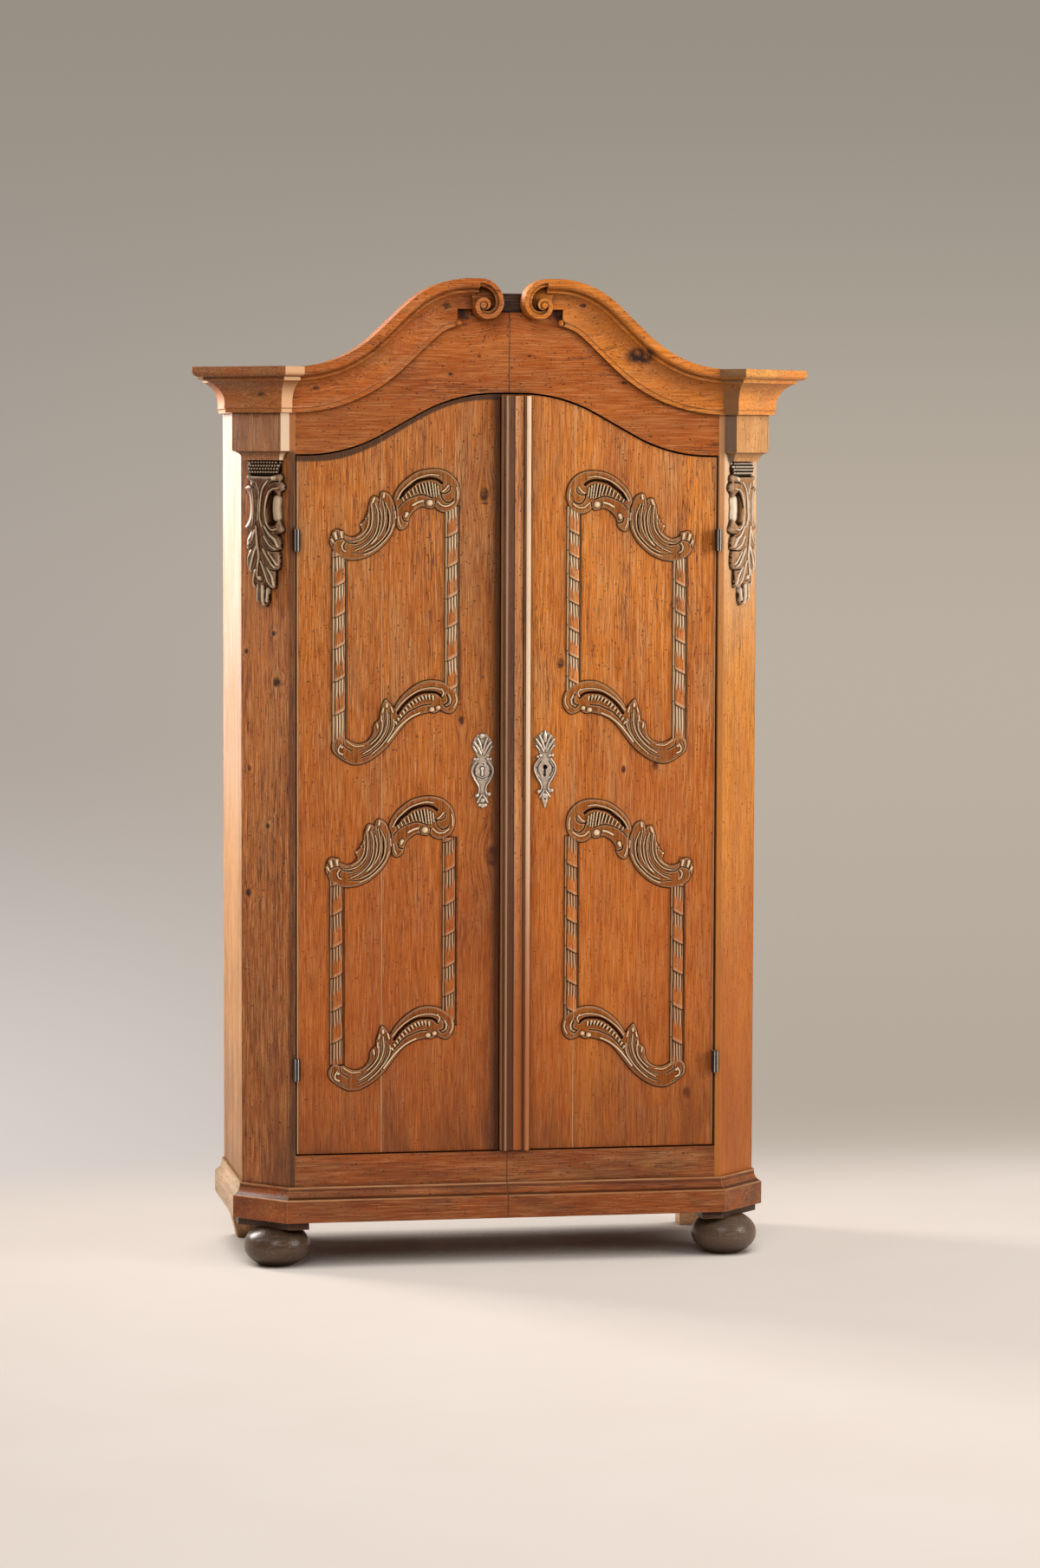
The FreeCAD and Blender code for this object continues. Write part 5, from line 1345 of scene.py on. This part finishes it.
@dataclass(frozen=True)
class Lamp:
    """A soft box: where it stands, what it faces, its size in metres, power and colour."""

    name: str
    place: Place
    faces: Place
    width: float
    height: float
    power: float
    colour: str
    spread: float = 180.0

    def build(self) -> None:
        """Adds the lamp to the studio."""
        bpy.ops.object.light_add(type="AREA", location=self.place)
        lamp = bpy.context.active_object
        lamp.name = self.name
        lamp.data.shape = "RECTANGLE"
        lamp.data.size, lamp.data.size_y = self.width, self.height
        lamp.data.energy = self.power
        lamp.data.color = tone(self.colour)[:3]
        lamp.data.spread = math.radians(self.spread)
        lamp.visible_camera = False
        aim = Vector(self.faces) - Vector(self.place)
        lamp.rotation_euler = aim.to_track_quat("-Z", "Y").to_euler()


@dataclass(frozen=True)
class Studio:
    """The pale sweep, the lamps and the camera, in metres."""

    lamps: tuple[Lamp, ...]
    eye: Place = (-1.63289, -9.400694, 1.72082)
    yaw: float = math.radians(10.18)
    pitch: float = math.radians(4.27)
    roll: float = math.radians(0.19)
    focal: float = 5140.4
    image_height: float = 1810.0
    film_height: float = 36.0
    sweep_front: float = -14.0
    sweep_start: float = 1.2
    sweep_radius: float = 1.4
    sweep_half: float = 11.0
    sweep_top: float = 9.0
    ground_size: float = 120.0
    surround: float = 0.15

    def build(self) -> None:
        """Adds sweep, lamps, world and camera."""
        self.sweep()
        for lamp in self.lamps:
            lamp.build()
        self.world()
        self.camera()

    def sweep(self) -> None:
        """Models the paper sweep, with floor, rounded turn and wall, and the ground round it."""
        bpy.ops.object.select_all(action="DESELECT")
        bpy.ops.mesh.primitive_plane_add(size=1.0)
        paper = bpy.context.active_object
        paper.name = paper.data.name = "paper_sweep"
        back = self.sweep_start + self.sweep_radius
        for vertex in paper.data.vertices:
            vertex.co.x = math.copysign(self.sweep_half, vertex.co.x)
            vertex.co.y = back if vertex.co.y > 0 else self.sweep_front
        open_with(paper, "EDGE", self.far_edges(paper))
        up = (0.0, 0.0, self.sweep_top)
        bpy.ops.mesh.extrude_edges_move(TRANSFORM_OT_translate={"value": up})
        bpy.ops.object.mode_set(mode="OBJECT")
        open_with(paper, "EDGE", self.far_edges(paper))
        bpy.ops.mesh.bevel(offset=self.sweep_radius, segments=24, affect="EDGES")
        bpy.ops.mesh.select_all(action="SELECT")
        bpy.ops.mesh.normals_make_consistent(inside=True)
        bpy.ops.object.mode_set(mode="OBJECT")
        bpy.ops.object.shade_smooth()
        bpy.ops.object.select_all(action="DESELECT")
        bpy.ops.mesh.primitive_plane_add(size=self.ground_size, location=(0.0, 0.0, -MM))
        ground = bpy.context.active_object
        ground.name = ground.data.name = "studio_ground"
        bpy.ops.object.transform_apply(location=True, rotation=True, scale=True)
        paint = self.paper()
        for sheet in (paper, ground):
            sheet.data.materials.append(paint)

    @staticmethod
    def far_edges(paper: bpy.types.Object) -> np.ndarray:
        """Finds the edges that lie on the floor at its far end.

        Args:
            paper: The sweep so far.

        Returns:
            True for each such edge.
        """
        points = [vertex.co.y > 0 and vertex.co.z < MM for vertex in paper.data.vertices]
        return np.array([all(points[v] for v in edge.vertices) for edge in paper.data.edges])

    def paper(self) -> bpy.types.Material:
        """Makes the sweep's paint, pale on the floor and greyer up the wall as painted shading that glows
        for the camera.

        Returns:
            The material.
        """
        material, tree = empty_material("studio_paint_and_painted_shading")
        place = add(tree, "TexCoord", out="Object")
        part = add(tree, "SeparateXYZ", {0: place}).node.outputs
        air = add(tree, "AmbientOcclusion", {"Distance": 0.40}, "AO", samples=8)
        # From left to right, up the wall, up its upper part, from floor to wall, and how open
        # a place is to the air: the first and last value of each, in metres but for the last.
        across, rise, crown, turn, air = (
            add(tree, "MapRange", {0: way, 1: low, 2: high}, interpolation_type="SMOOTHSTEP")
            for way, low, high in (
                (part["X"], -1.4, 1.2),
                (part["Z"], -0.15, 1.0),
                (part["Z"], 1.1, 3.0),
                (part["Y"], 0.55, 1.7),
                (air, 0.22, 0.62),
            )
        )
        # Faint clouds half a metre wide.
        mottle = add(tree, "TexNoise", {"Vector": place, "Scale": 1 / 0.5, "Detail": 4.0})
        floor = painted(tree, "#f0e5dc", [(mottle, "#e9dcd1")])
        # The wall's colours are painted shading, which changes from left to right and darkens up the wall.
        low = painted(tree, "#dcd5d1", [(across, "#b5a99c")])
        middle = painted(tree, "#aea49c", [(across, "#bbafa1")])
        wall = painted(tree, low, [(rise, middle), (crown, "#969085")])
        # A painted shadow takes the floor's own light away under the case, where nothing reaches it.
        shaded = painted(tree, "#2c1c15", [(air, floor)])
        lit = add(tree, "BsdfDiffuse", {"Color": floor})
        even = add(tree, "Emission", {"Color": shaded})
        far = add(tree, "BsdfDiffuse", {"Color": wall})
        # The wall glows with its painted shading for the camera and in reflections.
        glow = add(tree, "Emission", {"Color": wall})
        ray = add(tree, "LightPath").node.outputs
        either = {0: ray["Is Camera Ray"], 1: ray["Is Glossy Ray"]}
        seen = add(tree, "Math", either, operation="MAXIMUM")
        back = add(tree, "MixShader", {0: seen, 1: far, 2: glow})
        half = add(tree, "Math", {0: seen, 1: 0.65}, operation="MULTIPLY")
        lit = add(tree, "MixShader", {0: half, 1: lit, 2: even})
        paint = add(tree, "MixShader", {0: turn, 1: lit, 2: back})
        # From behind, the paper is clear, so that it hides nothing there.
        behind = add(tree, "NewGeometry", out="Backfacing")
        clear = add(tree, "BsdfTransparent")
        paint = add(tree, "MixShader", {0: behind, 1: paint, 2: clear})
        add(tree, "OutputMaterial", {0: paint})
        return material

    def world(self) -> None:
        """Gives the studio its dim, even surround."""
        world = bpy.data.worlds.new("studio_surround")
        bpy.context.scene.world = world
        world.use_nodes = True
        tree = world.node_tree
        tree.nodes.clear()
        glow = add(tree, "Background", {"Color": tone("#f6f0ea"), "Strength": self.surround})
        add(tree, "OutputWorld", {0: glow})

    def camera(self) -> None:
        """Stands the camera where the photograph was taken from."""
        bpy.ops.object.camera_add()
        camera = bpy.context.active_object
        camera.name = "studio_camera"
        level = math.cos(self.pitch)
        ahead = Vector(
            (math.sin(self.yaw) * level, math.cos(self.yaw) * level, -math.sin(self.pitch))
        )
        right = Vector((math.cos(self.yaw), -math.sin(self.yaw), 0.0))
        down = ahead.cross(right)
        across = right * math.cos(self.roll) - down * math.sin(self.roll)
        below = right * math.sin(self.roll) + down * math.cos(self.roll)
        turn = Matrix((across, -below, -ahead)).transposed().to_4x4()
        camera.matrix_world = Matrix.Translation(self.eye) @ turn
        camera.data.sensor_fit = "VERTICAL"
        camera.data.sensor_height = self.film_height
        camera.data.lens = self.film_height * self.focal / self.image_height
        camera.data.clip_end = 60.0
        bpy.context.scene.camera = camera


UPRIGHT, LEVEL, DEEP = Grain
# Darker toward the left door's meeting edge, and toward the doors' bottoms.
MEETING_DARKENING = Shade("X", 0.03, 0.15, 0.33, "#3f2010", centre=0.016, ragged=True)
DOOR_BOTTOM_DARKENING = Shade("Z", 0.24, 0.44, 0.30, "#4a2410", ragged=True)
# The joint between the two halves of frieze, rail and plinth.
JOINT = Shade("X", 0.0007, 0.0018, 0.92, "#1d0d06", centre=0.0)
# Pale lines along the doors' board seams; a painted highlight along the left door's outer edge, and wear
# with a painted highlight along the right one's; a painted shadow under the left arch and another beside
# the meeting edge.
LEFT_SEAM = Shade("X", 0.0004, 0.0011, 0.6, "#e9c9a0", centre=-0.2685, ragged=True)
LEFT_ARCH_SHADOW = Shade("ARCH", -0.013, -0.018, 0.85, "#2c180b")
LEFT_SHADOW = Shade("X", -0.024, -0.040, 0.75, "#2e190c")
LEFT_EDGE = Shade("X", 0.0012, 0.0028, 0.60, "#e6bd92", centre=-0.4475)
RIGHT_SEAM = Shade("X", 0.0004, 0.0011, 0.6, "#e9c9a0", centre=0.1430, ragged=True)
RIGHT_EDGE = Shade("X", 0.0010, 0.0026, 0.6, "#f0d2ae", centre=0.4475, ragged=True)
DOOR_WORN_AND_HIGHLIGHT = "#f8dcb4"
# Paler rubbed crowns and painted highlights on the upper panels' carving, duller below.
DULL = 0.5
DOOR_LEFT = Door(
    side=Side.LEFT,
    # Brown honey, painted darker than the right door as painted half shade, with painted shadows under the
    # arch and beside the meeting edge.
    boards=Pine(
        "waxed_pine_left_door", UPRIGHT, "#cd7621", "#b25e16", "#763307", 0.4,
        seam=-0.270,
        knots=(Knot(1.155, -0.099, 0.007), Knot(0.868, -0.033, 0.016), Knot(1.631, -0.051, 0.011)),
        shades=(WARM_BELOW, LOW_DARKENING, DOOR_BOTTOM_DARKENING, MEETING_DARKENING, LEFT_SEAM, LEFT_EDGE, LEFT_ARCH_SHADOW, LEFT_SHADOW),
        faded=0.6,
        corners=0.85,
        worn_and_highlight=DOOR_WORN_AND_HIGHLIGHT,
    ),
    crests=(Placing(-240, 1590), Placing(-249, 902)),
    bases=(Placing(-240, 1150), Placing(-247, 460)),
    ribbons=(
        Ribbon(-358.0, 1108, 1512, (1442, 1378, 1312, 1243, 1173)),
        Ribbon(-119.0, 1200, 1606, (1546, 1482, 1417, 1355, 1286, 1222)),
        Ribbon(-363.0, 430, 822, (751, 682, 618, 548, 480), DULL),
        Ribbon(-123.5, 510, 908, (841, 769, 704, 637, 576, 515), DULL),
    ),
    plate=PLATE_LEFT,
    lean=1.0,
)
DOOR_RIGHT = Door(
    side=Side.RIGHT,
    # Brighter, more orange honey, painted lighter than the left door as painted light.
    boards=Pine(
        "waxed_pine_right_door", UPRIGHT, "#e78a26", "#c86f1c", "#88400a", 2.1,
        seam=0.142,
        knots=(
            Knot(1.049, 0.250, 0.006),
            Knot(1.056, 0.319, 0.007),
            Knot(0.353, 0.391, 0.010),
            Knot(1.275, 0.113, 0.008),
        ),
        shades=(WARM_BELOW, LOW_DARKENING, DOOR_BOTTOM_DARKENING, RIGHT_SEAM, RIGHT_EDGE),
        faded=0.6,
        worn_and_highlight=DOOR_WORN_AND_HIGHLIGHT,
    ),
    crests=(Placing(261, 1587, True), Placing(263, 892, True)),
    bases=(Placing(252, 1147, True), Placing(253, 454, True)),
    ribbons=(
        Ribbon(141.0, 1200, 1606, (1550, 1501, 1452, 1402, 1344, 1289, 1235)),
        Ribbon(370.5, 1108, 1505, (1440, 1379, 1319, 1255, 1181)),
        Ribbon(139.0, 510, 908, (845, 786, 726, 663, 595, 535), DULL),
        Ribbon(369.5, 415, 822, (740, 678, 613, 538, 463), DULL),
    ),
    plate=PLATE_RIGHT,
    lean=-1.0,
)

STUDIO = Studio(
    lamps=(
        Lamp(
            "tall_box_behind_left", (-2.4, 2.0, 2.6), (-0.5, 0.0, 1.6), 1.1, 2.2, 60.0, "#fffaf4",
            spread=75.0,
        ),
        Lamp("key_box_right", (4.4, -2.7, 2.5), (0.2, -0.1, 1.3), 2.0, 2.0, 180.0, "#fffaf2"),
        Lamp("high_front_fill", (-1.6, -6.0, 4.6), (0.0, 0.0, 1.0), 2.5, 2.5, 165.0, "#fffaf6"),
    ),
)

# Painted highlights on the astragal's beads, the right one's kept to its upper part, grease and painted
# shade on its left bead, and painted shade in its quirks.
QUIRK_SHADE = "#1f0e06"
ASTRAGAL_SHADES = (
    LOW_DARKENING,
    Shade("X", 0.0045, 0.0060, 0.8, "#f4dcc0", centre=0.040),
    Shade("Z", 0.45, 1.20, 0.9, "#a85a20"),
    Shade("X", 0.0125, 0.0135, 0.85, "#3d2114", centre=-0.002),
    Shade("X", 0.0012, 0.0026, 0.45, "#d8ab80", centre=-0.006),
    Shade("X", 0.0006, 0.0016, 0.7, "#d8ab80", centre=-0.015),
    Shade("X", 0.0008, 0.0020, 0.85, QUIRK_SHADE, centre=0.011),
    Shade("X", 0.0008, 0.0018, 0.85, QUIRK_SHADE, centre=0.031),
    Shade("X", 0.0006, 0.0014, 0.8, QUIRK_SHADE, centre=0.0345),
    Shade("X", 0.0008, 0.0020, 0.85, QUIRK_SHADE, centre=0.047),
)
LEFT_POST_SHADES = (
    LOW_DARKENING,
    Shade("Z", 1.71, 1.25, 0.45, "#3a2416", ragged=True),
    Shade("Z", 0.15, 0.85, 0.45, "#5a2a10", ragged=True),
    # A painted shadow of the door on the strip beside it.
    Shade("X", 0.005, 0.009, 0.7, "#33190b", centre=-0.458),
    Shade("Z", 1.724, 1.716, 0.85, "#b87440"),
)
RIGHT_POST_SHADES = (
    WARM_BELOW,
    LOW_DARKENING,
    Shade("Z", 0.3, 0.9, 0.5, "#aa4e00"),
    Shade("Z", 1.75, 1.2, 0.6, "#f4e0c4"),
    Shade("X", 0.462, 0.467, 0.75, "#b4702f"),
)
# Rubbed edges of the plinth's mouldings, and painted shade in their quirk and under their lip.
PLINTH_SHADES = (
    LOW_DARKENING,
    Shade("Z", 0.0006, 0.0020, 0.65, "#dcae80", centre=0.1452, ragged=True),
    Shade("Z", 0.0010, 0.0028, 0.75, "#2a1408", centre=0.1490),
    Shade("Z", 0.0012, 0.0030, 0.55, "#2a1408", centre=0.1650),
    Shade("Z", 0.0008, 0.0022, 0.60, "#dcae80", centre=0.1705, ragged=True),
    JOINT,
)
POST_KNOTS = (
    Knot(1.339, -0.494, 0.004),
    Knot(1.237, -0.488, 0.008),
    Knot(1.300, -0.545, 0.004),
    Knot(1.054, -0.540, 0.004),
    Knot(0.934, -0.505, 0.004),
    Knot(0.790, -0.5415, 0.006),
)
# Pegs and nail heads of the frieze, as small dark eyes, and painted shade in the recesses beside the
# volutes.
PEGS_AND_VOLUTE_SHADE = (
    Knot(-0.124, 1.882, 0.004),
    Knot(-0.222, 1.919, 0.004),
    Knot(-0.064, 1.920, 0.003),
    Knot(0.043, 1.921, 0.003),
    Knot(0.246, 1.866, 0.004),
    Knot(0.414, 1.856, 0.004),
    Knot(-0.096, 2.008, 0.016),
    Knot(0.100, 2.008, 0.016),
)

# Every other CAD node's finish.
FINISHES: tuple[Pine | Metal, ...] = (
    # A dry, streaky post with dark ends and small knots, painted darker than the right one as painted
    # shade.
    Pine(
        "waxed_pine_left_post", UPRIGHT, "#ea8d42", "#c37030", "#7a3915", 5.2,
        ("corner_post_left",),
        knots=POST_KNOTS, shades=LEFT_POST_SHADES, streaks=1.4, checks=1.0,
    ),
    # A post painted brighter than the left one as painted light, paler above and warm below.
    Pine(
        "waxed_pine_right_post", UPRIGHT, "#f5a43b", "#d9872b", "#985519", 6.4,
        ("corner_post_right",),
        shades=RIGHT_POST_SHADES,
    ),
    # Sides with a painted highlight that pales them grey toward the top.
    Pine(
        "waxed_pine_sides", UPRIGHT, "#ce8c3e", "#b47831", "#834e1a", 7.6,
        pair("side_panel"),
        shades=(LOW_DARKENING, Shade("Z", 1.7, 0.5, 0.72, "#c8bcb6", ragged=True)),
    ),
    # A red brown frieze with pegs and its dark joint, painted shade at its left end, and painted shade in
    # the recesses beside the volutes.
    Pine(
        "waxed_pine_frieze", LEVEL, "#b96011", "#a5510b", "#6e2f04", 8.3,
        pair("frieze"),
        knots=PEGS_AND_VOLUTE_SHADE, faded=0.25, streaks=0.6,
        shades=(Shade("X", -0.50, -0.10, 0.22, "#3a1a0a"), JOINT),
    ),
    # Swan necks with hollows darkened by dust and painted shade, nail heads, and on the right one a burn
    # mark; the right one is painted lighter than the left as painted light.
    Pine(
        "waxed_pine_left_arch", LEVEL, "#d57118", "#b85e11", "#783506", 9.9,
        ("arch_cornice_left",),
        knots=(Knot(-0.410, 1.851, 0.005), Knot(-0.136, 2.024, 0.006)), streaks=0.7, corners=0.9,
    ),
    Pine(
        "waxed_pine_right_arch", LEVEL, "#f08e2a", "#d07821", "#8d480f", 10.4,
        ("arch_cornice_right",),
        knots=(Knot(0.276, 1.922, 0.020), Knot(0.152, 2.026, 0.005)), streaks=0.7, corners=0.9,
    ),
    # Capitals and their cornices, whose inward faces are paled on the left by wear and painted light and
    # darkened on the right as painted shade; the right ones are painted lighter than the left as painted
    # light.
    Pine(
        "waxed_pine_left_capital", UPRIGHT, "#c78351", "#ac693c", "#754321", 11.3,
        ("capital_left",),
        streaks=1.3, return_light_and_shade="#e4ccb0",
    ),
    Pine(
        "waxed_pine_right_capital", UPRIGHT, "#e9ad6e", "#ce9258", "#955f33", 11.8,
        ("capital_right",),
        return_light_and_shade="#7c6759", inward=-1.0,
    ),
    Pine(
        "waxed_pine_left_cornice", LEVEL, "#d57b2b", "#b35f1c", "#6e360c", 12.1,
        ("capital_cornice_left", "side_cornice_left"),
        knots=(Knot(-0.523, 1.838, 0.005), Knot(-0.465, 1.840, 0.004)), return_light_and_shade="#e4b78d",
    ),
    Pine(
        "waxed_pine_right_cornice", LEVEL, "#ffbc5f", "#fa9842", "#b05f22", 12.6,
        ("capital_cornice_right", "side_cornice_right"),
        corners=0.35, return_light_and_shade="#8a6540", inward=-1.0,
    ),
    # A dark, even plinth with rubbed edges, and its sides and back feet, painted pale as painted light.
    Pine(
        "waxed_pine_plinth", LEVEL, "#b65c17", "#984811", "#612907", 13.7,
        pair("plinth_front", "plinth_corner", "bottom_rail"),
        shades=PLINTH_SHADES, streaks=0.6,
    ),
    Pine(
        "waxed_pine_plinth_sides", DEEP, "#edd0a5", "#eab484", "#a67248", 13.9,
        pair("plinth_side", "foot_back"),
    ),
    # A strip with painted highlights on its beads, grease and painted shade on its left bead, and painted
    # shade in its quirks.
    Pine(
        "waxed_pine_astragal", UPRIGHT, "#f6ab6e", "#d88d53", "#8b4d29", 14.9,
        ("astragal",),
        shades=ASTRAGAL_SHADES,
    ),
    # Bare, matt boards that never saw wax.
    Pine(
        "plain_pine_inside", UPRIGHT, "#b98a5c", "#a4764a", "#7a5330", 16.2,
        (
            "back_board_1", "back_board_2", "back_board_3", "door_left_battens", "door_right_battens",
            "door_stops", "shelf_cleats", "hat_shelf", *pair("top_board", "bottom_board"),
        ),
        gloss=0.6,
    ),
    # Nearly black blocks.
    Pine(
        "stained_pine_blocks", LEVEL, "#3d2617", "#2c1a10", "#190e08", 18.8,
        ("crown_block", *pair("foot_block")),
        faded=0.0, streaks=0.3,
    ),
    # Dark, smooth buns with a dull gloss, painted paler and greyer on the right as painted light.
    Pine(
        "ebonised_beech_feet", LEVEL, "#5a463a", "#463629", "#2a1f18", 19.3,
        pair("foot_front"),
        gloss=0.3, shades=(Shade("X", 0.52, 0.30, 0.30, "#8a7465"),), faded=0.0, streaks=0.2,
    ),
    # Black knuckles with painted highlights in bright stripes.
    Metal(
        "hinge_iron_with_painted_glints", "#241e19", "#0f0c0a", 9.0, 0.15, 0.36,
        ("hinge_post_leaves", "hinge_pins", *pair("hinge_door_leaves")),
        glint_period=6.1,
    ),
    # Dull, dark ironwork inside.
    Metal(
        "blackened_iron", "#2b2723", "#1b1816", 9.0, 0.7, 0.5,
        ("lock_keeper", "bolt_staples", "lock_case", "lock_bolt", "upper_bolt", "lower_bolt"),
    ),
)
# The pendants' wood, painted dark on the left as painted shade and bright on the right as painted light,
# with crowns rubbed pale and painted highlights.
CARVED: dict[Side, Pine] = {
    Side.LEFT: Pine(
        "carved_pine_left_pendant", UPRIGHT, "#86532e", "#6e4324", "#452410", 17.7,
        shades=(), worn_and_highlight="#ecd2b0", faded=0.2, streaks=0.6,
    ),
    Side.RIGHT: Pine(
        "carved_pine_right_pendant", UPRIGHT, "#d39a62", "#bc824c", "#7f4f28", 18.1,
        shades=(), worn_and_highlight="#fff0da",
    ),
}
# Silvery plates with brown stains, dirt and painted shade in their hollows, and bright crowns of wear and
# painted highlights.
TINNED_PLATE = Metal("worn_tinned_plate", "#e4d4c2", "#b49e88", 7.0, 0.65, 0.38)


def main() -> None:
    """Builds and dresses the armoire and its studio."""
    bpy.context.scene.view_settings.view_transform = "Standard"
    STUDIO.build()
    for finish in FINISHES:
        material = finish.material()
        for node in finish.nodes:
            dress(node, material)
    metal = TINNED_PLATE.material()
    for door in (DOOR_LEFT, DOOR_RIGHT):
        door.build(metal)
    for side, finish in CARVED.items():
        Pendant(side).build(finish.material())


if __name__ == "__main__":
    logging.basicConfig(level=logging.INFO, format="%(name)s %(message)s")
    main()
